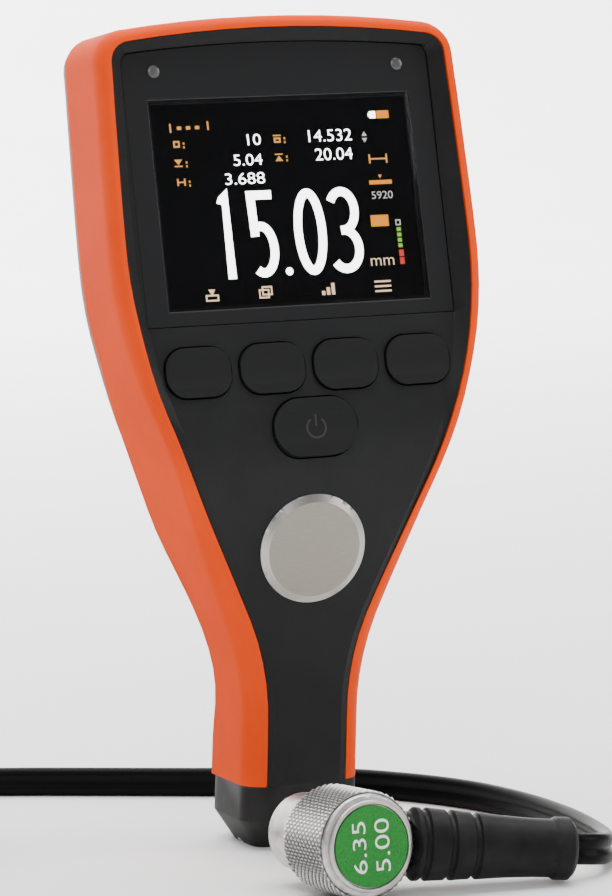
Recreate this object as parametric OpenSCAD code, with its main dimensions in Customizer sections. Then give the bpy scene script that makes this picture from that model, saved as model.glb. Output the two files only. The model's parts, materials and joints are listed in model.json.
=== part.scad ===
// Ultrasonic thickness gauge with a dual element transducer on a twin lead.
// The gauge stands on its base cap: +Z up, the display looks towards -Y,
// and the origin is the middle of the base's resting face.
// The body follows a bent face: a place on it is given by x, by the distance s
// along the face from the base, and by the depth d behind the face.

/* [Body] */
// Length of the front, measured along its bent face
face_l = 149; // [147:0.5:152]
// Width of the head where it is widest
head_w = 68.8; // [66:0.2:72]
// Width of the handle
handle_w = 21.8; // [21.4:0.2:25]
// Depth of the handle and of the base, front to back
handle_t = 23; // [22.5:0.1:25]
// Depth of the head, front to back
head_t = 26; // [26:0.1:28]
// Backward lean of the head, in degrees
head_lean = 11.5; // [8:0.5:14]
// Forward lean of the handle, in degrees
handle_lean = 10; // [6:0.5:12]
// Distance along the face at which the bend begins
bend_from = 58; // [54:1:60]
// Distance along the face at which the bend ends
bend_to = 82; // [80:1:86]
// Distance along the face at which the sides start to flare
flare_from = 34; // [32:0.2:38]
// Distance along the face at which the sides stop flaring
flare_to = 93.4; // [92:0.2:98]
// Radius of the head's top corners
corner_r = 6; // [5:0.5:8]
// Rise of the head's top towards the back, per unit of depth
top_rake = 0.11; // [0.05:0.01:0.15]
// Rise of the head's top edge in its middle
top_crown = 1.8; // [1:0.1:3]

/* [Casings] */
// Wall of the moulded casings
wall = 1.5; // [1.2:0.1:1.8]
// Wall of the soft bumper band
band_t = 2.0; // [1.6:0.1:2.4]
// Width of the band's front lip on the handle
lip_low = 3.4; // [3:0.1:4]
// Depth of the band's side at the head and handle
flank_d = 15.6; // [15:0.2:17]
// Extra depth of the band's side at the neck
flank_swell = 5.3; // [3:0.1:5.4]
// Extra depth of the band's side just above the base
flank_foot = 2.8; // [1:0.2:3]
// Hollow of the front between the base and the keys
neck_hollow = 1.9; // [1:0.1:2.2]
// Rise of the band's lip in front of the head's plane
lip_rise = 2; // [1:0.1:2.2]
// Depth of the head's front behind its plane
recess_d = 0.4; // [0.3:0.1:0.6]
// Width of the sloping rim round the head's front
rim_w = 2.4; // [1.6:0.1:2.8]
// Inset of the rounded back edges
back_round = 8; // [6:0.5:9]
// Height of the base cap along the face
seam_s = 12; // [11:0.5:13]
// Height of the chamfer round the base
chamfer_h = 5.5; // [4:0.5:6.5]
// Inset of the chamfer round the base
chamfer_w = 3.3; // [2:0.1:3.5]

/* [Display] */
// Width of the active screen
screen_w = 48.96; // [46:0.01:50]
// Height of the active screen
screen_h = 36.72; // [34:0.01:37.5]
// Distance along the face to the middle of the screen
screen_s = 116.3; // [115:0.1:117]
// Width of the display panel
panel_w = 57.4; // [56:0.1:57.8]
// Height of the display panel
panel_h = 49; // [47:0.1:49.5]
// Thickness of the display panel and of its window
panel_t = 0.8; // [0.6:0.1:1]
// Thickness of the display module
lcd_t = 2.6; // [2:0.1:2.6]
// Radius of the two indicator lenses
lens_r = 1.15; // [0.8:0.05:1.5]
// Half of the distance between the two lenses
lens_x = 22.8; // [20:0.1:24]

/* [Keys] */
// Width of a soft key
key_w = 11.9; // [10:0.1:12.4]
// Height of a soft key
key_h = 8.6; // [7:0.1:8.8]
// Distance between the middles of soft keys
key_pitch = 13.68; // [13.4:0.02:13.8]
// Distance along the face to the row of soft keys
key_s = 87.2; // [87:0.1:88]
// Width of the power key
power_w = 15.5; // [13:0.1:17]
// Height of the power key
power_h = 10.1; // [8:0.1:10.4]
// Distance along the face to the power key
power_s = 76.6; // [76:0.1:77]
// Gap round a key
key_gap = 0.3; // [0.25:0.05:0.4]
// Travel of a key
key_travel = 0.5; // [0.3:0.05:0.5]
// Height of a key above the face
key_proud = 0.7; // [0.5:0.05:1]

/* [Zero disc] */
// Radius of the steel zero disc
disc_r = 9.8; // [9:0.1:10.2]
// Thickness of the steel zero disc
disc_t = 4; // [3:0.1:4.5]
// Distance along the face to the disc
disc_s = 55; // [53:0.5:57]
// Height of the disc above the face
disc_proud = 0.9; // [0.2:0.1:1.2]

/* [Batteries] */
// Radius of a battery
cell_r = 7.2; // [7:0.05:7.25]
// Length of a battery without its button
cell_l = 49.2; // [49:0.1:50]
// Length of the battery cover
cover_l = 68.3; // [68:0.1:69]
// Width of the battery cover
cover_w = 36; // [35:0.5:38]
// Thickness of the battery cover
cover_t = 1.6; // [1.4:0.1:1.8]
// Radius of the cover's hinge pin
hinge_pin_r = 0.6; // [0.5:0.05:0.7]
// Radius of the coin screw's head
coin_r = 3.2; // [2.8:0.1:3.3]

/* [Sockets] */
// Radius of a socket's bore
socket_r = 2.55; // [2.5:0.01:2.7]
// Depth of a socket's bore
socket_l = 6; // [5.5:0.1:6.5]
// Half of the distance between the sockets
socket_x = 4.3; // [4.2:0.05:4.4]
// Wall of a socket
socket_wall = 0.75; // [0.6:0.05:0.8]

/* [Transducer] */
// Length of the transducer
probe_l = 24.5; // [22:0.5:30]
// Radius of its knurled shell
shell_r = 9.1; // [8.8:0.1:9.6]
// Length of its knurled shell
shell_l = 14; // [12:0.5:15]
// Radius of its cap
cap_r = 7.7; // [7.6:0.1:7.8]
// Length of its cap
cap_l = 0.7; // [0.7:0.1:2]
// Radius of its label
label_r = 6.8; // [6:0.1:6.9]
// Radius of its nose
nose_r = 6.7; // [6:0.1:7]
// Length of the cable boot from the shell's axis
boot_l = 38.4; // [36:0.2:40]
// Radius of the boot where it meets the shell
boot_r = 6.2; // [5:0.1:6.4]
// Radius of the boot's end before its flange
boot_end_r = 4.9; // [4.6:0.1:5.2]

/* [Lead] */
// Width of the twin lead, across both of its wires
lead_w = 5.4; // [5:0.1:5.8]
// Thickness of the twin lead, across one wire
lead_t = 2.7; // [2.4:0.1:2.9]
// Radius of a plug's barrel
barrel_r = 2.5; // [2.4:0.01:2.65]
// Length of a plug's barrel
barrel_l = 9; // [7:0.5:10]

/* [Hidden] */
$fn = 48;

// Cuts run past the faces that they open by this much
overrun = 1;
// Play between pieces that are fitted together
fit_gap = 0.1;

// The bent face
spine_n = 149;
spine_step = face_l / spine_n;
base_y = -handle_t / 2;
tilt_to = 40;
blend_low = 9.4;
blend_high = 14.5;
taper_from = 112;
taper_blend = 8;
taper_share = 0.028;
flare_share = (head_w - handle_w) / 2 / (flare_to - flare_from);

function mix(a, b, t) = a + (b - a) * t;
function ramp(s, a, b) =
    let (t = max(0, min(1, (s - a) / (b - a))))
    t * t * (3 - 2 * t);
function lean(s) = mix(-handle_lean, head_lean, ramp(s, bend_from, bend_to));
function tilt(s) = head_lean * ramp(s, seam_s, tilt_to);
// A slope that starts at zero and is rounded over the blend on both sides
function slope_on(t, blend) = t < -blend ? 0 : t > blend ? t : (t + blend) * (t + blend) / (4 * blend);

spine = [
    for (i = 0, y = 0, z = 0;
        i <= spine_n;
        y = y + spine_step * sin(lean((i + 0.5) * spine_step)),
        z = z + spine_step * cos(lean((i + 0.5) * spine_step)),
        i = i + 1)
    [i * spine_step, y, z]
];
spine_ys = [for (p = spine) [p[0], p[1]]];
spine_zs = [for (p = spine) [p[0], p[2]]];
hollow_from = 8;
hollow_full = 50;
hollow_fall = 60;
hollow_to = 78;
function hollow(s) = neck_hollow * ramp(s, hollow_from, hollow_full) * (1 - ramp(s, hollow_fall, hollow_to));
function face_y(s) = base_y + lookup(s, spine_ys) + hollow(s);
function face_z(s) = lookup(s, spine_zs);
// A place on or behind the face
function place(x, s, d) = [x, face_y(s) + d * cos(tilt(s)), face_z(s) - d * sin(tilt(s))];

// Depth of the real face behind the head's own straight plane
function head_off(s) =
    (face_y(s) - face_y(bend_to)) * cos(head_lean) - (face_z(s) - face_z(bend_to)) * sin(head_lean);
// Distance up the head's own plane of a place on the face
function head_up(s) =
    bend_to + (face_y(s) - face_y(bend_to)) * sin(head_lean)
    + (face_z(s) - face_z(bend_to)) * cos(head_lean);

// Outline of the front and the depths of its layers
function half_w(s) =
    handle_w / 2
    + flare_share * (slope_on(s - flare_from, blend_low) - slope_on(s - flare_to, blend_high))
    - taper_share * slope_on(s - taper_from, taper_blend);
lip_mid = 1.9;
lip_mid_s = 74;
lip_head = 0.4;
lip_head_from = 80;
lip_head_to = 98;
edge_low = 5;
edge_high = 1.7;
edge_from = 36;
edge_to = 80;
rise_from = 70;
rise_to = 97;
recess_low = 0;
recess_from = 58;
recess_to = 97;
rim_low = 0.5;
rim_low_w = 1.3;
swell_from = 42;
swell_full = 66;
swell_fall = 70;
swell_to = 94;
foot_from = 18;
foot_to = 40;
part_gap = 0.05;
back_edge = 0.3;
function lip(s) = mix(lip_low, lip_mid, ramp(s, edge_from, lip_mid_s)) + lip_head * ramp(s, lip_head_from, lip_head_to);
function edge_r(s) = mix(edge_low, edge_high, ramp(s, edge_from, edge_to));
function recess(s) = mix(recess_low, recess_d, ramp(s, recess_from, recess_to));
function rim(s) = mix(rim_low_w, rim_w, ramp(s, recess_from, recess_to));
function rise(s) = lip_rise * ramp(s, rise_from, rise_to);
function flank(s) =
    flank_d + flank_swell * ramp(s, swell_from, swell_full) * (1 - ramp(s, swell_fall, swell_to))
    + flank_foot * (1 - ramp(s, foot_from, foot_to));
function back(s) = mix(handle_t, head_t, ramp(s, tilt_to, bend_to));

// One closed loop round the front: up the right side, over the top, down the left.
// inset and depth are functions of s, and from is where the sides begin.
side_n = 34;
corner_n = 6;
top_n = 4;
corner_min = 1.2;
top_w = half_w(face_l - corner_r);
crown_a = atan(2 * top_crown / (top_w - corner_r));
function half_loop(inset, depth, from) =
    let (
        e = inset(face_l),
        r = max(corner_r - e, corner_min),
        mid_x = top_w - e - r,
        end_x = mid_x + r * sin(crown_a),
        rise = tan(crown_a) * end_x / 2,
        turn_s = face_l - e - rise - r * cos(crown_a) + top_rake * depth(face_l)
    )
    concat(
        [for (k = [0 : side_n])
            let (s = mix(from, turn_s, k / side_n))
            let (x = mix(half_w(s) - inset(s), mid_x + r, ramp(s, turn_s - corner_r, turn_s)))
            place(x, s, depth(s))],
        [for (k = [1 : corner_n])
            let (a = (90 - crown_a) * k / corner_n)
            let (s = turn_s + r * sin(a))
            place(mid_x + r * cos(a), s, depth(s))],
        [for (k = [1 : top_n])
            let (t = 1 - k / (top_n + 0.5))
            let (s = turn_s + r * cos(crown_a) + rise * (1 - t * t))
            place(end_x * t, s, depth(s))]
    );
half_n = side_n + 1 + corner_n + top_n;
loop_n = 2 * half_n;
function loop(inset, depth, from) =
    let (right = half_loop(inset, depth, from))
    concat(right, [for (k = [half_n - 1 : -1 : 0]) [-right[k][0], right[k][1], right[k][2]]]);
function at(level, k) = level * loop_n + k % loop_n;
function cap_faces(level, flip) = [
    for (k = [0 : half_n - 2])
        let (quad = [at(level, k), at(level, k + 1), at(level, loop_n - 2 - k), at(level, loop_n - 1 - k)])
        each (flip
            ? [[quad[0], quad[2], quad[1]], [quad[0], quad[3], quad[2]]]
            : [[quad[0], quad[1], quad[2]], [quad[0], quad[2], quad[3]]])
];
function wall_faces(level, n) = [
    for (k = [0 : n - 1])
        each [[at(level, k), at(level + 1, k), at(level + 1, k + 1)],
            [at(level, k), at(level + 1, k + 1), at(level, k + 1)]]
];
// A closed solid from a stack of loops, capped at its first and last
module stack(loops) {
    last = len(loops) - 1;
    polyhedron(
        points = [for (l = loops) each l],
        faces = concat(
            cap_faces(0, true),
            [for (level = [0 : last - 1]) each wall_faces(level, loop_n)],
            cap_faces(last, false)),
        convexity = 8);
}

// Places on the head: x, up the head's plane, and depth behind it
module on_head(x, up, d) {
    translate([0, face_y(bend_to), face_z(bend_to)])
        rotate([-head_lean, 0, 0])
            translate([x, d, up - bend_to])
                children();
}
// Places on the leaning handle
module on_handle(x, s, d) {
    translate([x, face_y(s), face_z(s)])
        rotate([handle_lean, 0, 0])
            translate([0, d, 0])
                children();
}
// Extrudes an outline drawn in x and up, from zero to a depth
module deep(h) {
    translate([0, h, 0])
        rotate([90, 0, 0])
            linear_extrude(h)
                children();
}
module rod(r, h) {
    rotate([-90, 0, 0])
        cylinder(r = r, h = h);
}
// Rectangle with round corners, on its centre
module rounded(w, h, r) {
    square([w - 2 * r, h], center = true);
    square([w, h - 2 * r], center = true);
    for (x = [-1, 1], y = [-1, 1])
        translate([x * (w / 2 - r), y * (h / 2 - r)])
            circle(r);
}

// Depths in the head, from its front plane backwards
panel_d = recess_d + 0.2;
window_gap = 0.4;
panel_open_w = screen_w + fit_gap;
panel_open_h = screen_h + 3 * fit_gap;
gasket_lap = 0.6;
opening_w = screen_w + 1.6;
opening_h = screen_h + 1.6;
lcd_w = 50.4;
lcd_h = 43;
lcd_d = recess_d + wall;
lcd_s = screen_s;
gasket_t = 0.4;
board_gap = 1.8;
board_d = lcd_d + lcd_t + board_gap;
board_t = 1;
board_w = 49;
board_from = 74.5;
board_to = 143;
pillar_r = 1.9;
pillar_x = 19;
pillar_up = 78;
pillar_top_x = 12;
pillar_top_up = 141;
board_screw_r = 0.9;
board_head_r = 1.7;
board_head_t = 0.9;
lens_s = 139.7;
panel_s = panel_h / 2 + 95.3;
panel_r = 4;
panel_top_r = 280;

// Battery well
well_floor = 1.2;
cell_gap = 0.35;
cell_x = cell_r + cell_gap;
well_d = board_d + board_t + 0.4;
cell_d = well_d + well_floor + cell_r + cell_gap;
well_half = 2 * cell_r + 2 * cell_gap;
well_from = 78.6;
well_l = cell_l + 5.2;
well_to = well_from + well_l;
button_r = 2.7;
button_l = 1;
cover_foot = 70.2;
cover_head = cover_foot + cover_l;
cover_d = head_t - cover_t;
cover_foot_w = 25;
cover_taper = 7.5;
cover_play = 0.3;
ledge_t = 2.2;
ledge_sink = 0.4;
ledge_w = 2.4;
ledge_d = cover_d - cover_play;
hinge_r = 1.5;
hinge_up = cover_head - hinge_r;
hinge_d = head_t - hinge_r;
hinge_play = 0.05;
barrel_end = 3;
pin_seat_l = 1.6;
pin_l = cover_w + 2 * (cover_play + pin_seat_l);
coin_up = cover_foot + coin_r + 0.5;
coin_head_t = 1;
coin_shank_r = 1.5;
coin_shank_l = 3.4;
coin_slot_w = 1;
coin_slot_d = 0.6;
seal_w = 1.1;
seal_t = 0.6;
seal_gap = 0.6;

// Case screws
screw_x = 28.2;
screw_up = 108;
screw_low_s = 40;
screw_r = 1.1;
screw_head_r = 2.1;
screw_head_t = 1.6;
screw_sink = 2.6;
boss_r = 2.4;
rear_boss_r = 3;
boss_core_r = 0.9;
boss_meet = 17;
low_meet = 12;
low_sink = 1.8;
screw_l = 11;

// Base cap
cap_edge_r = 5;
cap_back_r = 8;
plan_n = 6;
socket_sink = 0.4;
socket_flange = 0.3;
socket_flange_t = 1;
socket_end_t = 0.8;
core_r_less = 0.4;
core_t = 1.6;
core_pin_r = 0.45;
cap_screw_y = 5.9;
cap_screw_r = 1.1;
cap_screw_head_r = 1.8;
cap_screw_head_t = 1.3;
cap_screw_sink = 0.5;
cap_screw_l = 14.5;

// Keys
flange_w = 0.6;
flange_t = 0.8;
dome_r = 2.6;
dome_t = 0.35;
stem_r = 2;
key_r = 3.7;
key_dish = 0.5;
beeper_r = 2.5;
beeper_t = 0.9;
beeper_up = 78.6;
beeper_x = 12.2;

// Shell of the front: a tub behind a dished face, open at the back
module front_shell() {
    inner = function (s) band_t + fit_gap + wall;
    outer = function (s) band_t + fit_gap;
    parting = function (s) flank(s) - part_gap;
    stack([
        loop(inner, function (s) recess(s) + wall, seam_s + wall),
        loop(inner, parting, seam_s + wall),
        loop(outer, parting, seam_s),
        loop(function (s) lip(s) + fit_gap, function (s) rim_low - rise(s), seam_s),
        loop(function (s) lip(s) + rim(s), function (s) recess(s), seam_s),
    ]);
}

module front_casing() {
    color([0.13, 0.13, 0.14])
    difference() {
        union() {
            front_shell();
            on_handle(0, disc_s, recess_low + wall / 2)
                rod(disc_r + wall + fit_gap, disc_t + wall / 2);
            for (x = [-1, 1]) {
                on_head(x * screw_x, screw_up, recess_d + wall / 2)
                    rod(boss_r, boss_meet - recess_d - wall / 2);
                on_head(x * pillar_x, pillar_up, recess_d)
                    rod(pillar_r, board_d - recess_d);
                on_head(x * pillar_top_x, pillar_top_up, recess_d + wall / 2)
                    rod(pillar_r, board_d - recess_d - wall / 2);
            }
            on_handle(0, screw_low_s, wall / 2)
                rod(boss_r, low_meet - wall / 2);
        }
        // Window, and the step that the display panel lies in
        on_head(0, screen_s, 0)
            deep(recess_d + 2 * wall)
                square([opening_w, opening_h], center = true);
        on_head(0, panel_s, 0)
            deep(panel_d + panel_t)
                panel_outline(fit_gap);
        for (x = [-1, 1])
            on_head(x * lens_x, lens_s, 0)
                rod(lens_r + fit_gap, recess_d + 2 * wall);
        for (k = [0 : 3])
            on_head((k - 1.5) * key_pitch, key_s, -overrun)
                deep(recess_d + wall + 2 * overrun)
                    rounded(key_w + 2 * key_gap, key_h + 2 * key_gap, key_r + key_gap);
        on_head(0, power_s, -overrun)
            deep(recess_d + wall + 2 * overrun)
                rounded(power_w + 2 * key_gap, power_h + 2 * key_gap, power_h / 2 + key_gap - fit_gap);
        on_handle(0, disc_s, -overrun)
            rod(disc_r + fit_gap, overrun - disc_proud + disc_t);
        for (x = [-1, 1]) {
            on_head(x * screw_x, screw_up, boss_meet / 2)
                rod(boss_core_r, boss_meet);
            on_head(x * pillar_x, pillar_up, recess_d + wall)
                rod(board_screw_r - fit_gap, board_d);
            on_head(x * pillar_top_x, pillar_top_up, recess_d + wall)
                rod(board_screw_r - fit_gap, board_d);
        }
        on_handle(0, screw_low_s, low_meet / 2)
            rod(boss_core_r, low_meet);
        for (y = [-1, 1])
            translate([0, y * cap_screw_y, 0])
                cylinder(r = boss_core_r, h = cap_screw_l + overrun);
    }
}

// Shares of the rounded back edge: inset and depth at each step
back_inset_shares = [0.1, 0.33, 0.65, 1];
back_depth_shares = [0.3, 0.72, 0.94, 1];
module rear_shell() {
    inner_mid_share = 0.6;
    parting = function (s) flank(s) + part_gap;
    stack(concat(
        [
            loop(function (s) back_round, function (s) back(s) - wall, seam_s + wall),
            loop(function (s) band_t + fit_gap + wall,
                function (s) mix(flank(s), back(s) - wall, inner_mid_share), seam_s + wall),
            loop(function (s) band_t + fit_gap, parting, seam_s + wall),
            loop(function (s) back_edge, parting, seam_s),
        ],
        [for (k = [0 : 3])
            loop(function (s) back_round * back_inset_shares[k],
                function (s) mix(flank(s), back(s), back_depth_shares[k]), seam_s)]
    ));
}

// Outline of the battery cover, up from its foot: it narrows towards the neck
module cover_outline(grow, top) {
    half = cover_w / 2 + grow;
    foot = cover_foot_w / 2 + grow / 2;
    polygon([[-foot, -grow], [foot, -grow], [half, cover_taper], [half, top], [-half, top], [-half, cover_taper]]);
}

module rear_casing() {
    color([0.13, 0.13, 0.14])
    difference() {
        union() {
            rear_shell();
            on_head(0, (well_from + well_to) / 2, well_d)
                deep(ledge_d - well_d)
                    square([2 * (well_half + wall), well_l + 2 * wall], center = true);
            on_head(0, cover_foot, ledge_d - ledge_t)
                deep(head_t - ledge_sink - ledge_d + ledge_t)
                    cover_outline(ledge_w, cover_l + cover_play + wall);
            for (x = [-1, 1])
                on_head(x * screw_x, screw_up, boss_meet)
                    rod(rear_boss_r, head_t - screw_sink - boss_meet);
            on_handle(0, screw_low_s, low_meet)
                rod(rear_boss_r, handle_t - wall / 2 - low_meet);
        }
        on_head(0, (well_from + well_to) / 2, well_d + well_floor)
            deep(head_t)
                square([2 * well_half, well_l], center = true);
        on_head(0, cover_foot, ledge_d)
            deep(head_t)
                cover_outline(cover_play, cover_l + cover_play + fit_gap);
        // Room for the hinge knuckles to turn
        on_head(-(cover_w / 2 + cover_play), hinge_up, hinge_d)
            rotate([0, 90, 0])
                cylinder(r = hinge_r + cover_play, h = cover_w + 2 * cover_play);
        on_head(-(pin_l / 2 + fit_gap), hinge_up, hinge_d)
            rotate([0, 90, 0])
                cylinder(r = hinge_pin_r, h = pin_l + 2 * fit_gap);
        on_head(0, coin_up, well_d)
            rod(coin_shank_r + 2 * cover_play, head_t);
        on_head(0, (well_from + well_to) / 2, ledge_d - seal_t)
            seal_ring(seal_t + overrun, fit_gap / 2);
        for (x = [-1, 1])
            on_head(x * screw_x, screw_up, 0) {
                rod(screw_r + fit_gap, head_t + overrun);
                translate([0, head_t - screw_sink - screw_head_t, 0])
                    rod(screw_head_r + fit_gap, head_t);
            }
        on_handle(0, screw_low_s, 0) {
            rod(screw_r + fit_gap, handle_t + overrun);
            translate([0, handle_t - low_sink - screw_head_t, 0])
                rod(screw_head_r + fit_gap, handle_t);
        }
        for (y = [-1, 1])
            translate([0, y * cap_screw_y, 0])
                cylinder(r = boss_core_r, h = cap_screw_l + overrun);
    }
}

// Soft band round the sides and the top, swept along the same outline
module bumper_band() {
    arc_shares = [0, 0.28, 0.55, 0.8];
    reach = function (s) min(edge_r(s), 0.85 * lip(s));
    sweep_a = function (s) acos(1 - reach(s) / edge_r(s));
    edge_at = function (s, t) edge_r(s) * (1 - cos(sweep_a(s) * t));
    drop_at = function (s, t) (edge_r(s) + rise(s)) * (1 - sin(sweep_a(s) * t)) - rise(s);
    loops = concat(
        [loop(function (s) 0, function (s) flank(s), seam_s)],
        [for (t = arc_shares) loop(function (s) edge_at(s, t), function (s) drop_at(s, t), seam_s)],
        [
            loop(function (s) edge_at(s, 1), function (s) drop_at(s, 1), seam_s),
            loop(function (s) lip(s), function (s) max(-rise(s), drop_at(s, 1) - fit_gap / 2), seam_s),
            loop(function (s) lip(s), function (s) rim_low + 2 * fit_gap - rise(s), seam_s),
            loop(function (s) band_t, function (s) flank(s), seam_s),
        ]);
    n = len(loops);
    color([0.93, 0.4, 0.22])
    polyhedron(
        points = [for (l = loops) each l],
        faces = concat(
            [for (level = [0 : n - 1], k = [0 : loop_n - 2])
                let (a = level * loop_n + k, b = ((level + 1) % n) * loop_n + k)
                each [[a, b + 1, b], [a, a + 1, b + 1]]],
            [[for (level = [0 : n - 1]) level * loop_n]],
            [[for (level = [n - 1 : -1 : 0]) level * loop_n + loop_n - 1]]),
        convexity = 8);
}

// Plan of the base: round at its corners, more so at the back
function plan_arc(x, y, r, a0, z) = [
    for (k = [0 : plan_n - 1])
        let (a = a0 + 90 * k / (plan_n - 1))
        [x + r * cos(a), y + r * sin(a), z]
];
function plan(e, s) =
    let (
        w = half_w(s) - e,
        front_r = cap_edge_r - e / 2,
        rear_r = cap_back_r - e / 2,
        y0 = face_y(s) + e,
        y1 = face_y(s) + handle_t - e,
        z = face_z(s)
    )
    concat(
        plan_arc(w - rear_r, y1 - rear_r, rear_r, 0, z),
        plan_arc(-w + rear_r, y1 - rear_r, rear_r, 90, z),
        plan_arc(-w + front_r, y0 + front_r, front_r, 180, z),
        plan_arc(w - front_r, y0 + front_r, front_r, 270, z)
    );
plan_pts = 4 * plan_n;
module base_body() {
    rings = [plan(chamfer_w, 0), plan(0, chamfer_h), plan(0, seam_s)];
    polyhedron(
        points = [for (r = rings) each r],
        faces = concat(
            [[for (k = [0 : plan_pts - 1]) k]],
            [for (level = [0 : 1], k = [0 : plan_pts - 1])
                let (a = level * plan_pts + k, b = level * plan_pts + (k + 1) % plan_pts)
                each [[a, a + plan_pts, b + plan_pts], [a, b + plan_pts, b]]],
            [[for (k = [plan_pts - 1 : -1 : 0]) 2 * plan_pts + k]]),
        convexity = 4);
}
module base_cap() {
    color([0.15, 0.15, 0.15])
    difference() {
        base_body();
        for (x = [-1, 1])
            translate([x * socket_x, 0, 0]) {
                translate([0, 0, -overrun])
                    cylinder(r = socket_r + socket_wall + fit_gap, h = overrun + 2 * seam_s);
                translate([0, 0, -overrun])
                    cylinder(r = socket_r + socket_wall + socket_flange + fit_gap,
                        h = overrun + socket_sink + socket_flange_t + fit_gap);
            }
        for (y = [-1, 1])
            translate([0, y * cap_screw_y, -overrun]) {
                cylinder(r = cap_screw_r + fit_gap, h = 2 * seam_s);
                cylinder(r = cap_screw_head_r + fit_gap, h = overrun + cap_screw_sink + cap_screw_head_t);
            }
    }
}

module slotted_screw(r, l, head_r, head_t, slot_w, slot_d) {
    difference() {
        union() {
            cylinder(r = head_r, h = head_t);
            translate([0, 0, head_t / 2])
                cylinder(r = r, h = l + head_t / 2);
        }
        translate([-head_r - overrun, -slot_w / 2, -overrun])
            cube([2 * (head_r + overrun), slot_w, overrun + slot_d]);
    }
}
module cap_screws() {
    color("silver")
    for (y = [-1, 1])
        translate([0, y * cap_screw_y, cap_screw_sink])
            slotted_screw(boss_core_r, cap_screw_l - cap_screw_sink - cap_screw_head_t,
                cap_screw_head_r, cap_screw_head_t, coin_slot_w / 2, coin_slot_d);
}
module casing_screws() {
    head_at = head_t - screw_sink;
    low_at = handle_t - low_sink;
    color("silver") {
        for (x = [-1, 1])
            on_head(x * screw_x, screw_up, head_at)
                rotate([90, 0, 0])
                    slotted_screw(boss_core_r, screw_l, screw_head_r, screw_head_t,
                        coin_slot_w / 2, coin_slot_d);
        on_handle(0, screw_low_s, low_at)
            rotate([90, 0, 0])
                slotted_screw(boss_core_r, screw_l, screw_head_r, screw_head_t,
                    coin_slot_w / 2, coin_slot_d);
    }
}

// Outline of the display panel: round corners at its top, and a slightly arched top edge
module panel_outline(grow) {
    w = panel_w + 2 * grow;
    h = panel_h + 2 * grow;
    intersection() {
        union() {
            rounded(w, h, panel_r);
            translate([0, -panel_r])
                square([w, h - 2 * panel_r], center = true);
        }
        translate([0, h / 2 - panel_top_r])
            circle(panel_top_r, $fn = 360);
    }
}
module display_panel() {
    color([0.1, 0.1, 0.11])
    on_head(0, panel_s, panel_d)
        difference() {
            deep(panel_t)
                panel_outline(0);
            translate([0, -overrun, screen_s - panel_s])
                deep(panel_t + 2 * overrun)
                    square([panel_open_w, panel_open_h], center = true);
            for (x = [-1, 1])
                translate([x * lens_x, -overrun, lens_s - panel_s])
                    rod(lens_r + fit_gap / 2, panel_t + 2 * overrun);
        }
}
module display_window() {
    color([0.02, 0.02, 0.03])
    on_head(0, screen_s, panel_d + fit_gap)
        deep(panel_t)
            square([panel_open_w - fit_gap, panel_open_h - fit_gap], center = true);
}
module display_gasket() {
    color([0.2, 0.2, 0.2])
    on_head(0, screen_s, lcd_d - gasket_t)
        deep(gasket_t)
            difference() {
                square([opening_w - fit_gap, opening_h - fit_gap], center = true);
                square([screen_w - 2 * gasket_lap, screen_h - 2 * gasket_lap], center = true);
            }
}
module lcd_module() {
    color([0.05, 0.05, 0.06])
    on_head(0, lcd_s, lcd_d)
        deep(lcd_t)
            square([lcd_w, lcd_h], center = true);
}
module indicator_lenses() {
    color([0.4, 0.4, 0.4])
    for (x = [-1, 1])
        on_head(x * lens_x, lens_s, panel_d)
            rod(lens_r, board_d - panel_d);
}
module main_board() {
    notch = 4.5;
    color([0.1, 0.4, 0.2])
    on_head(0, (board_from + board_to) / 2, board_d)
        difference() {
            deep(board_t)
                difference() {
                    square([board_w, board_to - board_from], center = true);
                    for (x = [-1, 1])
                        translate([x * board_w / 2, (board_from - board_to) / 2])
                            circle(notch);
                }
            for (x = [-1, 1]) {
                translate([x * pillar_x, -overrun, pillar_up - (board_from + board_to) / 2])
                    rod(board_screw_r + fit_gap, board_t + 2 * overrun);
                translate([x * pillar_top_x, -overrun, pillar_top_up - (board_from + board_to) / 2])
                    rod(board_screw_r + fit_gap, board_t + 2 * overrun);
            }
        }
}
module board_screw() {
    rotate([90, 0, 0])
        translate([0, 0, -board_head_t]) {
            cylinder(r = board_head_r, h = board_head_t);
            cylinder(r = board_screw_r - fit_gap, h = board_head_t + board_t + 2 * board_screw_r);
        }
}
module board_screws() {
    color("silver")
    for (x = [-1, 1]) {
        on_head(x * pillar_x, pillar_up, board_d + board_t)
            board_screw();
        on_head(x * pillar_top_x, pillar_top_up, board_d + board_t)
            board_screw();
    }
}
module key_domes() {
    color("gold") {
        for (k = [0 : 3])
            on_head((k - 1.5) * key_pitch, key_s, board_d - dome_t)
                rod(dome_r, dome_t);
        on_head(0, power_s, board_d - dome_t)
            rod(dome_r, dome_t);
    }
}
module beeper() {
    color("black")
    on_head(beeper_x, beeper_up, board_d - beeper_t)
        rod(beeper_r, beeper_t);
}

// One key: a dished cap, a flange behind the face and a stem above its dome
module key(w, h, r, top, wall_in) {
    stem_end = board_d - dome_t - key_travel - fit_gap;
    flange = wall_in + key_gap;
    difference() {
        union() {
            translate([0, top, 0])
                deep(flange + flange_t - top)
                    rounded(w, h, r);
            translate([0, flange, 0])
                deep(flange_t)
                    rounded(w + 2 * flange_w, h + 2 * flange_w - key_gap, r + flange_w);
            translate([0, flange, 0])
                rod(stem_r, stem_end - flange);
        }
        // A shallow dish across the cap
        translate([0, top - 30 * key_dish, 0])
            rotate([0, 90, 0])
                cylinder(r = 30.5 * key_dish, h = 2 * w, center = true, $fn = 96);
    }
}
module soft_key(k) {
    color([0.11, 0.11, 0.12])
    on_head((k - 1.5) * key_pitch, key_s, 0)
        key(key_w, key_h, key_r, recess(key_s) - key_proud, recess(key_s + key_h / 2) + wall);
}
module soft_key_1() { soft_key(0); }
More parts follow.
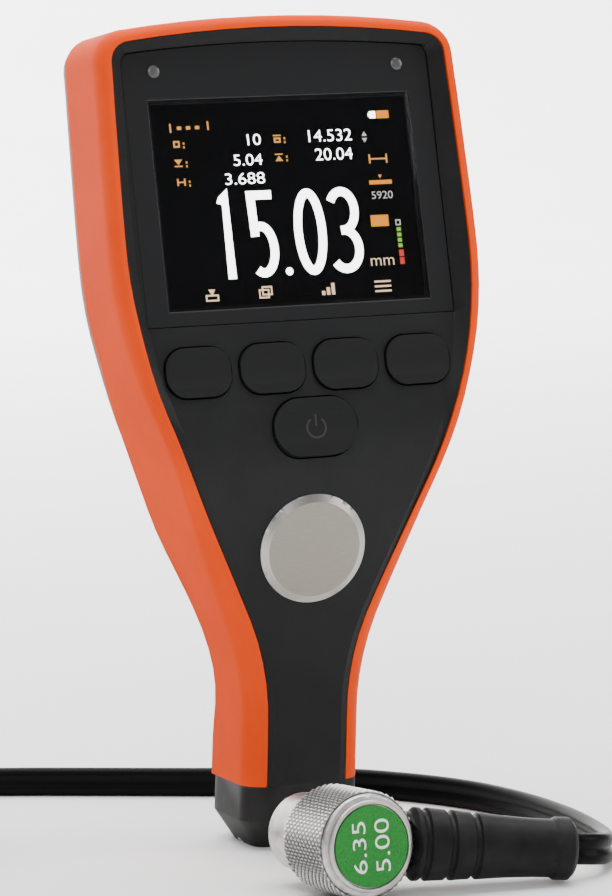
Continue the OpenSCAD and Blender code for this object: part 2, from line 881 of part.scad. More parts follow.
module soft_key_2() { soft_key(1); }
module soft_key_3() { soft_key(2); }
module soft_key_4() { soft_key(3); }
module power_key() {
    off = head_off(power_s);
    color([0.11, 0.11, 0.12])
    on_head(0, power_s, 0)
        key(power_w, power_h, power_h / 2 - fit_gap, off + recess(power_s) - key_proud,
            head_off(power_s - power_h / 2) + recess(power_s) + wall);
}

module zero_disc() {
    bevel = 1.3;
    bevel_d = 0.7;
    color([0.62, 0.6, 0.55])
    on_handle(0, disc_s, -disc_proud) {
        rotate([-90, 0, 0])
            cylinder(r1 = disc_r - bevel, r2 = disc_r, h = bevel_d);
        translate([0, bevel_d, 0])
            rod(disc_r, disc_t - bevel_d);
    }
}

plate_t = 0.4;
plate_w = 9;
spring_l = well_l - 2 * plate_t - cell_l - button_l;
module cell() {
    color([0.2, 0.45, 0.3]) {
        cylinder(r = cell_r, h = cell_l);
        translate([0, 0, cell_l])
            cylinder(r = button_r, h = button_l);
    }
}
// The two batteries lie head to foot
module battery_1() {
    on_head(-cell_x, well_from + plate_t + spring_l, cell_d)
        cell();
}
module battery_2() {
    on_head(cell_x, well_to - plate_t - spring_l, cell_d)
        mirror([0, 0, 1])
            cell();
}
module contact_plates() {
    color("silver") {
        for (x = [-1, 1])
            on_head(x * cell_x, well_from, cell_d - plate_w / 2)
                translate([-plate_w / 2, 0, 0])
                    cube([plate_w, plate_w, plate_t]);
        for (x = [-1, 1])
            on_head(x * cell_x, well_to - plate_t, cell_d - plate_w / 2)
                translate([-plate_w / 2, 0, 0])
                    cube([plate_w, plate_w, plate_t]);
    }
}
// Two conical springs, one at the flat end of each battery
spring_wire = 0.35;
spring_turns = 3;
spring_steps = 14;
spring_sides = 6;
spring_r0 = 3.6;
spring_r1 = 2.4;
module spring(l) {
    n = spring_turns * spring_steps;
    pts = [for (k = [0 : n])
        let (a = 360 * k / spring_steps, r = mix(spring_r0, spring_r1, k / n))
        let (z = mix(spring_wire, l - spring_wire, k / n))
        each [for (j = [0 : spring_sides - 1])
            let (b = 360 * j / spring_sides)
            [(r + spring_wire * cos(b)) * cos(a), (r + spring_wire * cos(b)) * sin(a),
                z + spring_wire * sin(b)]]];
    tube_mesh(pts, n + 1, spring_sides);
}
module contact_springs() {
    color("silver") {
        on_head(-cell_x, well_from + plate_t, cell_d)
            spring(spring_l);
        on_head(cell_x, well_to - plate_t, cell_d)
            mirror([0, 0, 1])
                spring(spring_l);
    }
}

module battery_cover() {
    color([0.15, 0.15, 0.15])
    difference() {
        union() {
            on_head(0, cover_foot, cover_d)
                deep(cover_t)
                    cover_outline(0, hinge_up - cover_foot);
            on_head(0, hinge_up, hinge_d)
                rotate([0, 90, 0])
                    cylinder(r = hinge_r, h = cover_w - 2 * barrel_end, center = true);
        }
        on_head(-cover_w, hinge_up, hinge_d)
            rotate([0, 90, 0])
                cylinder(r = hinge_pin_r + hinge_play, h = 2 * cover_w);
        on_head(0, coin_up, cover_d - overrun)
            rod(coin_shank_r + cover_play, cover_t + 2 * overrun);
        on_head(0, coin_up, head_t - coin_head_t - fit_gap)
            rod(coin_r + cover_play, head_t);
    }
}
module cover_pin() {
    color("silver")
    on_head(-pin_l / 2, hinge_up, hinge_d)
        rotate([0, 90, 0])
            cylinder(r = hinge_pin_r, h = pin_l);
}
module cover_screw() {
    color([0.7, 0.7, 0.7])
    on_head(0, coin_up, head_t)
        rotate([90, 0, 0])
            slotted_screw(coin_shank_r, coin_shank_l, coin_r, coin_head_t, coin_slot_w, coin_slot_d);
}
module seal_ring(h, grow) {
    inner = seal_gap - grow;
    outer = seal_gap + seal_w + grow;
    deep(h)
        difference() {
            square([2 * (well_half + outer), well_l + 2 * outer], center = true);
            square([2 * (well_half + inner), well_l + 2 * inner], center = true);
        }
}
module cover_seal() {
    color([0.25, 0.25, 0.25])
    on_head(0, (well_from + well_to) / 2, ledge_d - seal_t)
        seal_ring(seal_t, 0);
}

module socket(x) {
    color([0.75, 0.75, 0.72])
    translate([x, 0, socket_sink])
        difference() {
            union() {
                cylinder(r = socket_r + socket_wall, h = socket_l + core_t + socket_end_t);
                cylinder(r = socket_r + socket_wall + socket_flange, h = socket_flange_t);
            }
            translate([0, 0, -overrun])
                cylinder(r = socket_r, h = overrun + socket_l);
            cylinder(r = socket_r - core_r_less, h = socket_l + core_t);
        }
}
module socket_send() { socket(-socket_x); }
module socket_receive() { socket(socket_x); }
module socket_cores() {
    color("white")
    for (x = [-1, 1])
        translate([x * socket_x, 0, socket_sink + socket_l]) {
            translate([0, 0, core_t / 2])
                cylinder(r = socket_r - core_r_less, h = core_t / 2);
            cylinder(r = core_pin_r, h = core_t * 3 / 4);
        }
}

// Transducer: its axis runs back from the label, and it lies on its shell
probe_at = [-8.9, -62.2];
probe_yaw = 5.8;
probe_dip = 3;
shell_back = cap_l + shell_l;
probe_z = shell_r * cos(probe_dip) + shell_back * sin(probe_dip);
boot_d = 7.4;
boot_yaw = 9;
boot_dip = 6.8;
shell_edge = 0.7;
shell_front = 1.1;
module on_probe(d) {
    translate([probe_at[0], probe_at[1], probe_z])
        rotate([-probe_dip, 0, probe_yaw])
            translate([0, d, 0])
                children();
}
module probe_turned(points) {
    rotate([-90, 0, 0])
        rotate_extrude($fn = 64)
            polygon(points);
}
cap_edge = 0.25;
label_gap = 0.25;
label_t = 0.5;
core_r = nose_r - 1;
module probe_cap() {
    color([0.78, 0.77, 0.74])
    on_probe(0)
        probe_turned([
            [0, label_t], [label_r + label_gap, label_t], [label_r + label_gap, 0],
            [cap_r - cap_edge, 0], [cap_r, cap_edge], [cap_r, cap_l], [0, cap_l],
        ]);
}
module probe_label() {
    color([0.15, 0.57, 0.22])
    on_probe(0)
        rod(label_r, label_t);
}
module probe_shell() {
    color([0.78, 0.77, 0.74])
    on_probe(cap_l)
        probe_turned([
            [0, 0], [shell_r - shell_front, 0], [shell_r, shell_front],
            [shell_r, shell_l - shell_edge], [shell_r - shell_edge, shell_l],
            [core_r, shell_l], [core_r, shell_l / 2], [0, shell_l / 2],
        ]);
}
// The boot's own direction, turned with the transducer
function dipped(v) = [v[0], v[1] * cos(probe_dip) + v[2] * sin(probe_dip), v[2] * cos(probe_dip) - v[1] * sin(probe_dip)];
function yawed(v) = [v[0] * cos(probe_yaw) - v[1] * sin(probe_yaw), v[0] * sin(probe_yaw) + v[1] * cos(probe_yaw), v[2]];
boot_turn = boot_yaw + probe_yaw;
boot_way = yawed(dipped([cos(boot_dip) * cos(boot_turn), -cos(boot_dip) * sin(boot_turn), -sin(boot_dip)]));
boot_end = [probe_at[0], probe_at[1], probe_z] + yawed(dipped([0, boot_d, 0])) + boot_way * boot_l;
module on_boot(l) {
    on_probe(boot_d)
        rotate([0, 90 + boot_dip, -boot_turn])
            translate([0, 0, l])
                children();
}
boot_seat = shell_r / 2;
module probe_nose() {
    color([0.8, 0.8, 0.77])
    on_probe(shell_back)
        probe_turned([
            [core_r, 0], [nose_r, 0],
            [nose_r, probe_l - shell_back - shell_edge],
            [nose_r - shell_edge, probe_l - shell_back], [core_r, probe_l - shell_back],
        ]);
}
slit = 0.6;
wear_t = 1.2;
crystal_t = 0.5;
// Half discs on both sides of the sound barrier
module half_discs(r, h) {
    for (side = [-1, 1])
        intersection() {
            rod(r, h);
            translate([side > 0 ? slit : -slit - 2 * r, -overrun, -2 * r])
                cube([2 * r, h + 2 * overrun, 4 * r]);
        }
}
module wear_faces() {
    color([0.75, 0.6, 0.3])
    on_probe(probe_l - wear_t)
        half_discs(core_r - fit_gap, wear_t);
}
module probe_crystals() {
    color([0.85, 0.83, 0.7])
    on_probe(probe_l - wear_t - crystal_t)
        half_discs(core_r - 2 * fit_gap, crystal_t);
}
module probe_backing() {
    color([0.25, 0.22, 0.2])
    on_probe(shell_back - shell_l / 2)
        half_discs(core_r - 2 * fit_gap, probe_l - shell_back + shell_l / 2 - wear_t - crystal_t);
}
module sound_barrier() {
    color([0.45, 0.3, 0.2])
    on_probe(shell_back - shell_l / 2)
        translate([-slit + fit_gap, 0, -core_r + 4 * fit_gap])
            cube([2 * (slit - fit_gap), probe_l - shell_back + shell_l / 2, 2 * (core_r - 4 * fit_gap)]);
}

// Boot: three grooves, a long taper and an end flange, made by turning its profile
groove_at = [12.2, 16.6, 21];
groove_w = 1.3;
groove_d = 0.55;
flange_l = 3.8;
flange_r = 5.3;
flange_edge = 0.8;
boot_groove_points = [
    for (g = groove_at)
        let (r = boot_r_at(g))
        each [[r, g - groove_w / 2], [r - groove_d, g - groove_w / 4],
            [r - groove_d, g + groove_w / 4], [r, g + groove_w / 2]]
];
function boot_r_at(l) = mix(boot_r, boot_end_r, ramp(l, shell_r, boot_l - flange_l));
module cable_boot() {
    tail = boot_l - flange_l;
    color([0.07, 0.07, 0.07])
    difference() {
        on_boot(0)
            rotate_extrude($fn = 64)
                polygon(concat(
                    [[0, boot_seat], [boot_r - flange_edge, boot_seat], [boot_r - flange_edge, shell_r + flange_edge],
                        [boot_r, shell_r + 2 * flange_edge]],
                    boot_groove_points,
                    [for (t = [0.25, 0.5, 0.75]) let (l = mix(groove_at[2] + groove_w, tail, t)) [boot_r_at(l), l]],
                    [[boot_end_r, tail], [flange_r, tail + flange_edge],
                        [flange_r, boot_l - flange_edge], [flange_r - flange_edge, boot_l], [0, boot_l]]));
        on_probe(-probe_l)
            rod(shell_r, 2 * probe_l);
    }
}

// Faces of a tube whose rings follow each other in one list of points
module tube_mesh(points, rings, sides) {
    polyhedron(
        points = points,
        faces = concat(
            [[for (j = [0 : sides - 1]) j]],
            [for (i = [0 : rings - 2], j = [0 : sides - 1])
                let (a = i * sides + j, b = i * sides + (j + 1) % sides)
                each [[a, a + sides, b + sides], [a, b + sides, b]]],
            [[for (j = [sides - 1 : -1 : 0]) (rings - 1) * sides + j]]),
        convexity = 10);
}
function unit(v) = v / norm(v);
// Rings of the flat twin lead, standing on its edge along a path
function lead_rings(path, sides) = [
    for (i = [0 : len(path) - 1])
        let (
            ahead = unit(path[min(i + 1, len(path) - 1)] - path[max(i - 1, 0)]),
            side = unit(cross([0, 0, 1], ahead)),
            up = cross(ahead, side)
        )
        each [for (j = [0 : sides - 1])
            let (a = 360 * (j + 0.5) / sides)
            path[i] + side * (lead_t / 2 * cos(a)) + up * (lead_w / 2 * sin(a))]
];
function spline_point(a, b, c, d, t) =
    0.5 * (2 * b + (c - a) * t + (2 * a - 5 * b + 4 * c - d) * t * t
        + (3 * b - a - 3 * c + d) * t * t * t);
// A smooth path through hand-set points, with steps between each two
function spline(points, steps) =
    let (n = len(points))
    concat(
        [for (i = [0 : n - 2], k = [0 : steps - 1])
            spline_point(points[max(i - 1, 0)], points[i], points[i + 1], points[min(i + 2, n - 1)],
                k / steps)],
        [points[n - 1]]);

// The coil stands to the left, behind the gauge's view
coil_at = [-80, 36];
coil_r = 33;
coil_pitch = 3.4;
coil_turns = 5.25;
coil_start_a = 95;
coil_in_turns = 2.7;
coil_steps = 24;
coil_sides = 6;
lead_z = lead_w / 2;
layer_z = lead_z + lead_w + 0.6;
coil_end_z = 7.7;
coil_n = round(coil_turns * coil_steps);
function coil_radius(t) =
    t < coil_in_turns ? coil_r - coil_pitch * t
    : coil_r - coil_pitch * (2 * coil_in_turns - t)
        + coil_pitch * 1.15 * ramp(t, coil_turns - 0.45, coil_turns - 0.05);
function coil_z(t) =
    mix(lead_z, layer_z, ramp(t, coil_in_turns - 0.25, coil_in_turns + 0.25))
    - (layer_z - coil_end_z) * ramp(t, coil_turns - 0.4, coil_turns - 0.05);
function coil_point(t) =
    let (a = coil_start_a + 360 * t)
    [coil_at[0] + coil_radius(t) * cos(a), coil_at[1] + coil_radius(t) * sin(a), coil_z(t)];
coil_start = coil_point(0);
coil_in_way = [-sin(coil_start_a), cos(coil_start_a), 0];
coil_end_a = coil_start_a + 360 * coil_turns;
coil_out_way = [-sin(coil_end_a), cos(coil_end_a), 0];
coil_end = coil_point(coil_turns);
coil_path = concat(
    [coil_start - coil_in_way * lead_w],
    [for (k = [0 : coil_n]) coil_point(coil_turns * k / coil_n)],
    [coil_end + coil_out_way * lead_w]);

// Route of the lead from the boot round the right and behind the gauge
lead_route = [
    boot_end + boot_way * lead_t / 2,
    [32.8, -60.4, 4.8],
    [36.4, -57.2, 4],
    [39.2, -52.2, 3.3],
    [41.4, -46, 2.9],
    [43, -39, 2.7],
    [44, -31.5, 2.7],
    [44.4, -23, 2.7],
    [44, -12, 2.7],
    [42.2, -1, 2.7],
    [39.2, 8.4, 2.7],
    [34.4, 17.6, 2.7],
    [26.7, 28.2, 2.7],
    [16, 36.4, 2.7],
    [3, 44, 2.7],
    [-14, 54.9, 2.7],
    [-30.6, 65, 2.7],
    [-44, 70.4, 2.7],
    [-60, 72, 2.7],
];
lead_steps = 3;
lead_sides = 8;
lead_path = concat(
    [boot_end],
    spline(concat(lead_route, [coil_start - coil_in_way * (2 * lead_w)]), lead_steps),
    [coil_start - coil_in_way * lead_w]);
function path_length(path, i = 0) =
    i >= len(path) - 1 ? 0 : norm(path[i + 1] - path[i]) + path_length(path, i + 1);
echo(lead_length = path_length(lead_path), coil_length = path_length(coil_path));
echo(boot_end = boot_end, boot_way = boot_way, coil_start = coil_start, coil_end = coil_end);
// Least gap between the coil's own turns
coil_gap = min([
    for (i = [0 : len(coil_path) - 1], j = [i + coil_steps / 2 : len(coil_path) - 1])
        if (abs(coil_path[i][2] - coil_path[j][2]) < lead_w)
            norm(coil_path[i] - coil_path[j]) - lead_t
]);
echo(coil_least_gap = coil_gap, coil_layer_gap = layer_z - lead_z - lead_w);

module lead() {
    color([0.05, 0.05, 0.05])
    tube_mesh(lead_rings(lead_path, lead_sides), len(lead_path), lead_sides);
}
module lead_coil() {
    color([0.05, 0.05, 0.05])
    tube_mesh(lead_rings(coil_path, coil_sides), len(coil_path), coil_sides);
}

// Twin plug beside the coil, standing on its edge as the lead does
plug_l = 20;
plug_w = 9;
plug_h = 2 * coil_end_z;
plug_edge = 1.4;
plug_pitch = 8.4;
plug_neck_l = 5;
pin_r = 0.45;
pin_gap = 1;
module on_plug(l) {
    translate(coil_end + coil_out_way * (lead_w + l))
        rotate([0, 0, coil_end_a + 90])
            rotate([0, 90, 0])
                children();
}
module lead_plug() {
    color([0.06, 0.06, 0.06])
    difference() {
        union() {
            on_plug(plug_neck_l)
                linear_extrude(plug_l - plug_neck_l)
                    rounded(plug_h, plug_w, plug_edge);
            on_plug(0)
                linear_extrude(plug_neck_l + plug_edge)
                    rounded(lead_w + 2 * plug_edge, lead_t + 2 * plug_edge, plug_edge);
        }
        for (side = [-1, 1])
            on_plug(plug_l / 2)
                translate([side * plug_pitch / 2, 0, 0])
                    cylinder(r = barrel_r, h = plug_l);
    }
}
module plug_barrels() {
    color([0.8, 0.8, 0.78])
    for (side = [-1, 1])
        on_plug(plug_l / 2)
            translate([side * plug_pitch / 2, 0, 0])
                difference() {
                    cylinder(r = barrel_r, h = plug_l / 2 + barrel_l);
                    translate([0, 0, plug_l / 2])
                        cylinder(r = barrel_r - socket_wall, h = barrel_l + overrun);
                }
}
module plug_pins() {
    color("gold")
    for (side = [-1, 1])
        on_plug(plug_l)
            translate([side * plug_pitch / 2, 0, 0])
                cylinder(r = pin_r, h = barrel_l - pin_gap);
}

front_casing();
rear_casing();
bumper_band();
base_cap();
cap_screws();
casing_screws();
display_panel();
display_window();
display_gasket();
lcd_module();
indicator_lenses();
main_board();
board_screws();
key_domes();
beeper();
soft_key_1();
soft_key_2();
soft_key_3();
soft_key_4();
power_key();
zero_disc();
battery_1();
battery_2();
contact_springs();
contact_plates();
battery_cover();
cover_pin();
cover_screw();
cover_seal();
socket_send();
socket_receive();
socket_cores();
probe_shell();
probe_cap();
probe_label();
probe_nose();
wear_faces();
sound_barrier();
probe_crystals();
probe_backing();
cable_boot();
lead();
lead_coil();
lead_plug();
plug_barrels();
plug_pins();
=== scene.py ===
# %% [markdown]
# This file dresses a handheld ultrasonic thickness gauge. The gauge stands on its
# base cap, with its transducer lying in front of it on a twin lead. The exact
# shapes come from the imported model, which is loaded as a fixed frame in metres.
# Here they get their finishes, and the finer pieces are modelled: the knurl, the
# picture on the screen, the lead and the rounded edges that catch the light.

import json
import math

import bpy
from mathutils import Matrix, Vector


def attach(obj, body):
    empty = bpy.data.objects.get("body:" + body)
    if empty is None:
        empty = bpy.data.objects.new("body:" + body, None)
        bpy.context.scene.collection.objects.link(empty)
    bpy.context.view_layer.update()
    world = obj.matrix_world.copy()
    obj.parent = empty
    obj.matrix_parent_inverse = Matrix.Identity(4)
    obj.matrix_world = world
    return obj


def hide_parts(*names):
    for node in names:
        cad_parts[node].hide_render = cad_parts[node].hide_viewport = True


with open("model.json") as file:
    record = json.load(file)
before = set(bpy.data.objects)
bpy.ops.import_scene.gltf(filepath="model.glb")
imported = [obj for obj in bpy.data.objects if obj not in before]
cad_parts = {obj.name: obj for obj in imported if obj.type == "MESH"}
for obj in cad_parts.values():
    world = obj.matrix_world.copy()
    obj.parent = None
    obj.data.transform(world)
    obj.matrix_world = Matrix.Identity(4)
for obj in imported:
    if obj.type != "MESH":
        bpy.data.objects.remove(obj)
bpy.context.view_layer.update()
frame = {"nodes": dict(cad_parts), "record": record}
nodes = frame["nodes"]
MM = 0.001
print("loaded", len(nodes), "pieces")

# %% [markdown]
# A real photographer used a long lens a little above the display and to its left.
# A camera is a position, a direction and a lens. The lens is set so that the
# frame's longer side covers what a 36 mm sensor would, and a small roll follows
# the photographer's own tilt, so that the gauge leans in the picture as it did.

# %% Camera
EYE = Vector((-273.0, -676.6, 143.7)) * MM
TURN, DIP, ROLL = math.radians(22.5), math.radians(5.78), math.radians(1.7)
LENS = 165.9
ahead = Vector((math.sin(TURN) * math.cos(DIP), math.cos(TURN) * math.cos(DIP), -math.sin(DIP)))
level = Vector((math.cos(TURN), -math.sin(TURN), 0))
above = level.cross(ahead)
right = math.cos(ROLL) * level - math.sin(ROLL) * above
top = math.sin(ROLL) * level + math.cos(ROLL) * above
camera_data = bpy.data.cameras.new("camera")
camera_data.lens = LENS
camera = bpy.data.objects.new("camera", camera_data)
bpy.context.scene.collection.objects.link(camera)
camera.matrix_world = Matrix((
    (right.x, top.x, -ahead.x, EYE.x),
    (right.y, top.y, -ahead.y, EYE.y),
    (right.z, top.z, -ahead.z, EYE.z),
    (0, 0, 0, 1)))
bpy.context.scene.camera = camera
print("camera", [round(v, 4) for v in EYE], "lens", LENS)

# %% [markdown]
# The lead is two thin coaxial cables moulded side by side with a web between
# them, and it stands on its edge. A bevelled curve could only give one round
# cable, so the figure of eight is swept as a mesh along the same route as in the
# part's source: round the gauge's right side, past its back, then into a flat
# coil of two layers. The route is written in millimetres, and each of its points
# is turned into metres where it is used.


# %% Route of the lead
LEAD_W, LEAD_T = 5.4 * MM, 2.7 * MM
BOOT_END = Vector((28.0363, -61.0363, 5.43886)) * MM
BOOT_WAY = Vector((0.981332, -0.161153, -0.104967))
ROUTE = [
    (32.8, -60.4, 4.8), (36.4, -57.2, 4), (39.2, -52.2, 3.3), (41.4, -46, 2.9), (43, -39, 2.7),
    (44, -31.5, 2.7), (44.4, -23, 2.7), (44, -12, 2.7), (42.2, -1, 2.7), (39.2, 8.4, 2.7),
    (34.4, 17.6, 2.7), (26.7, 28.2, 2.7), (16, 36.4, 2.7), (3, 44, 2.7), (-14, 54.9, 2.7),
    (-30.6, 65, 2.7), (-44, 70.4, 2.7), (-60, 72, 2.7)]
STEPS_BETWEEN = 4
COIL_AT, COIL_R, COIL_PITCH = (-80, 36), 33, 3.4
COIL_TURNS, COIL_IN, COIL_A, COIL_STEPS = 5.25, 2.7, 95, 48
LOW_Z, HIGH_Z, END_Z = 2.7, 8.7, 7.7
# Turns over which the coil climbs to its second layer and leaves it at its end, and how
# many pitches outwards its end goes
CLIMB, OUT_FROM, DROP_FROM, ALL_OUT, OUT_PITCHES = 0.25, 0.45, 0.4, 0.05, 1.15


def ramp(value, low, high):
    """Rise smoothly from 0 to 1 while a value goes from low to high."""
    t = max(0, min(1, (value - low) / (high - low)))
    return t * t * (3 - 2 * t)


def coil_point(t):
    """Place of the lead after t turns: inwards on the floor, then outwards above."""
    if t < COIL_IN:
        radius = COIL_R - COIL_PITCH * t
    else:
        radius = COIL_R - COIL_PITCH * (2 * COIL_IN - t)
        radius += COIL_PITCH * OUT_PITCHES * ramp(t, COIL_TURNS - OUT_FROM, COIL_TURNS - ALL_OUT)
    z = LOW_Z + (HIGH_Z - LOW_Z) * ramp(t, COIL_IN - CLIMB, COIL_IN + CLIMB)
    z -= (HIGH_Z - END_Z) * ramp(t, COIL_TURNS - DROP_FROM, COIL_TURNS - ALL_OUT)
    a = math.radians(COIL_A + 360 * t)
    return Vector((COIL_AT[0] + radius * math.cos(a), COIL_AT[1] + radius * math.sin(a), z)) * MM


def coil_way(t):
    """Direction of the lead after t turns."""
    a = math.radians(COIL_A + 360 * t)
    return Vector((-math.sin(a), math.cos(a), 0))


def smooth_path(points, steps):
    """Points on a smooth curve that passes through all the given ones."""
    path = []
    last = len(points) - 1
    for i in range(last):
        a, b, c, d = points[max(i - 1, 0)], points[i], points[i + 1], points[min(i + 2, last)]
        for k in range(steps):
            t = k / steps
            path.append(0.5 * (2 * b + (c - a) * t + (2 * a - 5 * b + 4 * c - d) * t ** 2
                               + (3 * b - a - 3 * c + d) * t ** 3))
    return path + [points[-1]]


coil_begin, coil_finish = coil_point(0), coil_point(COIL_TURNS)
knots = [BOOT_END + BOOT_WAY * LEAD_T / 2] + [Vector(p) * MM for p in ROUTE]
knots.append(coil_begin - coil_way(0) * 2 * LEAD_W)
lead_path = [BOOT_END] + smooth_path(knots, STEPS_BETWEEN)
lead_path.append(coil_begin - coil_way(0) * LEAD_W)
rings = round(COIL_TURNS * COIL_STEPS)
lead_path += [coil_point(COIL_TURNS * k / rings) for k in range(rings + 1)]
lead_path.append(coil_finish + coil_way(COIL_TURNS) * LEAD_W)


# %% [markdown]
# The section of the lead has two round lobes and a waist. The same ring of points
# is set square to the path at each of its steps, and the rings are skinned with
# quads, as a loft would do.


# %% Twin lead
LOBE_FROM, LOBE_SWEEP, LOBE_SIDES = -62, 304, 8


def lobe_section():
    """Points round the lead: one open circle, then the same one turned by half."""
    section = []
    radius, half = LEAD_T / 2, LEAD_W / 4
    for side, start in ((1, LOBE_FROM), (-1, LOBE_FROM + 180)):
        for k in range(LOBE_SIDES + 1):
            a = math.radians(start + LOBE_SWEEP * k / LOBE_SIDES)
            section.append((radius * math.cos(a), side * half + radius * math.sin(a)))
    return section


def sweep(path, section, name):
    """Skin a closed section along a path, with a flat face at each end."""
    verts, faces = [], []
    for i, point in enumerate(path):
        way = (path[min(i + 1, len(path) - 1)] - path[max(i - 1, 0)]).normalized()
        side = Vector((0, 0, 1)).cross(way).normalized()
        up = way.cross(side)
        verts += [point + side * u + up * v for u, v in section]
    n = len(section)
    for first in range(0, (len(path) - 1) * n, n):
        faces += [(first + j, first + (j + 1) % n, first + n + (j + 1) % n, first + n + j)
                  for j in range(n)]
    faces += [tuple(reversed(range(n))), tuple((len(path) - 1) * n + j for j in range(n))]
    mesh = bpy.data.meshes.new(name)
    mesh.from_pydata([tuple(v) for v in verts], [], faces)
    mesh.update()
    piece = bpy.data.objects.new(name, mesh)
    bpy.context.scene.collection.objects.link(piece)
    return piece


twin_lead = sweep(lead_path, lobe_section(), "twin_lead")
print("twin lead", len(twin_lead.data.polygons), "faces")


# %% [markdown]
# An edit operator works on the active piece and on all that is selected in it, so
# three short helpers pick one piece, open it and close it. The lead is the first
# to need them: its faces are turned outwards and shaded smooth, and it takes the
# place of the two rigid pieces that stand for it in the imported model.


# %% Helpers for picking and editing
def only(piece):
    bpy.ops.object.select_all(action="DESELECT")
    piece.select_set(True)
    bpy.context.view_layer.objects.active = piece


def edit(piece):
    only(piece)
    bpy.ops.object.mode_set(mode="EDIT")


def done():
    bpy.ops.object.mode_set(mode="OBJECT")


edit(twin_lead)
bpy.ops.mesh.select_all(action="SELECT")
bpy.ops.mesh.normals_make_consistent(inside=False)
done()
bpy.ops.object.shade_smooth_by_angle(angle=math.radians(50))
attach(twin_lead, "gauge")
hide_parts("lead", "lead_coil")


# %% [markdown]
# Every finish starts from the same shader, and differs in how its small detail is
# made. Noise on Object coordinates is the same from every side and needs no
# unwrapping. The sizes are real: a moulded grain of a third of a millimetre needs
# a noise scale of about 3000, because the object is modelled in metres.


# %% Helpers for finishes
def shader_of(material):
    return material.node_tree.nodes["Principled BSDF"]


def new_finish(name, colour, metal=0.0, rough=0.5):
    """A material with one shader, whose sockets start at these values."""
    material = bpy.data.materials.new(name)
    material.use_nodes = True
    shader = shader_of(material)
    shader.inputs["Base Color"].default_value = (*colour, 1)
    shader.inputs["Metallic"].default_value = metal
    shader.inputs["Roughness"].default_value = rough
    print("finish", name)
    return material


def dull(material, level):
    """Lower the mirror-like part of the light that a surface sends back."""
    shader_of(material).inputs["Specular IOR Level"].default_value = level


def grain(material, scale, detail=3.0, stretch=(1, 1, 1)):
    """Noise on the piece's own coordinates, for the helpers below to read."""
    tree = material.node_tree
    coords = tree.nodes.new("ShaderNodeTexCoord")
    mapping = tree.nodes.new("ShaderNodeMapping")
    mapping.inputs["Scale"].default_value = stretch
    noise = tree.nodes.new("ShaderNodeTexNoise")
    noise.inputs["Scale"].default_value = scale
    noise.inputs["Detail"].default_value = detail
    tree.links.new(coords.outputs["Object"], mapping.inputs["Vector"])
    tree.links.new(mapping.outputs["Vector"], noise.inputs["Vector"])
    return noise


# Noise seldom leaves its middle, so only that part of it is spread over a range
NOISE_LOW, NOISE_HIGH = 0.3, 0.7
TINT_LOW, TINT_HIGH = 0.32, 0.68


def vary(material, noise, low, high):
    """Let the roughness wander between two values."""
    tree = material.node_tree
    spread = tree.nodes.new("ShaderNodeMapRange")
    spread.inputs["From Min"].default_value = NOISE_LOW
    spread.inputs["From Max"].default_value = NOISE_HIGH
    spread.inputs["To Min"].default_value = low
    spread.inputs["To Max"].default_value = high
    tree.links.new(noise.outputs["Fac"], spread.inputs["Value"])
    tree.links.new(spread.outputs["Result"], shader_of(material).inputs["Roughness"])


def blend(material, source, dark, light, low=0.0, high=1.0, socket="Base Color"):
    """Lead a colour socket from dark to light while a source goes from low to high."""
    tree = material.node_tree
    shades = tree.nodes.new("ShaderNodeValToRGB")
    first, last = shades.color_ramp.elements
    first.position, last.position = low, high
    first.color, last.color = (*dark, 1), (*light, 1)
    tree.links.new(source.outputs["Fac"], shades.inputs["Fac"])
    tree.links.new(shades.outputs["Color"], shader_of(material).inputs[socket])


def tint(material, noise, dark, light):
    """Let the colour wander between two shades."""
    blend(material, noise, dark, light, TINT_LOW, TINT_HIGH)


def rough_up(material, noise, strength, depth):
    """Raise the noise as a relief whose depth is in millimetres."""
    tree = material.node_tree
    bump = tree.nodes.new("ShaderNodeBump")
    bump.inputs["Strength"].default_value = strength
    bump.inputs["Distance"].default_value = depth * MM
    tree.links.new(noise.outputs["Fac"], bump.inputs["Height"])
    tree.links.new(bump.outputs["Normal"], shader_of(material).inputs["Normal"])


# %% [markdown]
# The bumper is a soft orange elastomer, dull and very finely pebbled from its
# mould. A wide, faint cloudiness stands for handling. The pebble changes only the
# relief and the gloss, so the colour stays even.

# %% Orange elastomer
elastomer = new_finish("orange_elastomer", (0.8, 0.08, 0.003), rough=0.62)
dull(elastomer, 0.03)
cloud = grain(elastomer, 60, 2)
tint(elastomer, cloud, (0.73, 0.052, 0.001), (0.79, 0.06, 0.002))
pebble = grain(elastomer, 2600, 2)
vary(elastomer, pebble, 0.52, 0.66)
rough_up(elastomer, pebble, 0.35, 0.04)

# %% [markdown]
# The casings are a stiff black plastic with a spark-eroded texture, a little
# coarser and shinier at its peaks than the keys' silicone rubber.

# %% Black mouldings
casing_black = new_finish("casing_black", (0.012, 0.0123, 0.013), rough=0.5)
dull(casing_black, 0.16)
tint(casing_black, grain(casing_black, 90, 2), (0.009, 0.0092, 0.0098), (0.0115, 0.0118, 0.0124))
spark = grain(casing_black, 3600, 3)
vary(casing_black, spark, 0.42, 0.6)
rough_up(casing_black, spark, 0.4, 0.04)

key_rubber = new_finish("key_rubber", (0.009, 0.0092, 0.0098), rough=0.55)
dull(key_rubber, 0.16)
soft = grain(key_rubber, 4200, 2)
vary(key_rubber, soft, 0.48, 0.62)
rough_up(key_rubber, soft, 0.2, 0.03)

cap_black = new_finish("cap_black", (0.014, 0.014, 0.0145), rough=0.55)
dull(cap_black, 0.16)
worn = grain(cap_black, 300, 6)
tint(cap_black, worn, (0.009, 0.009, 0.0094), (0.017, 0.0167, 0.0163))
rough_up(cap_black, grain(cap_black, 2400, 3), 0.4, 0.05)

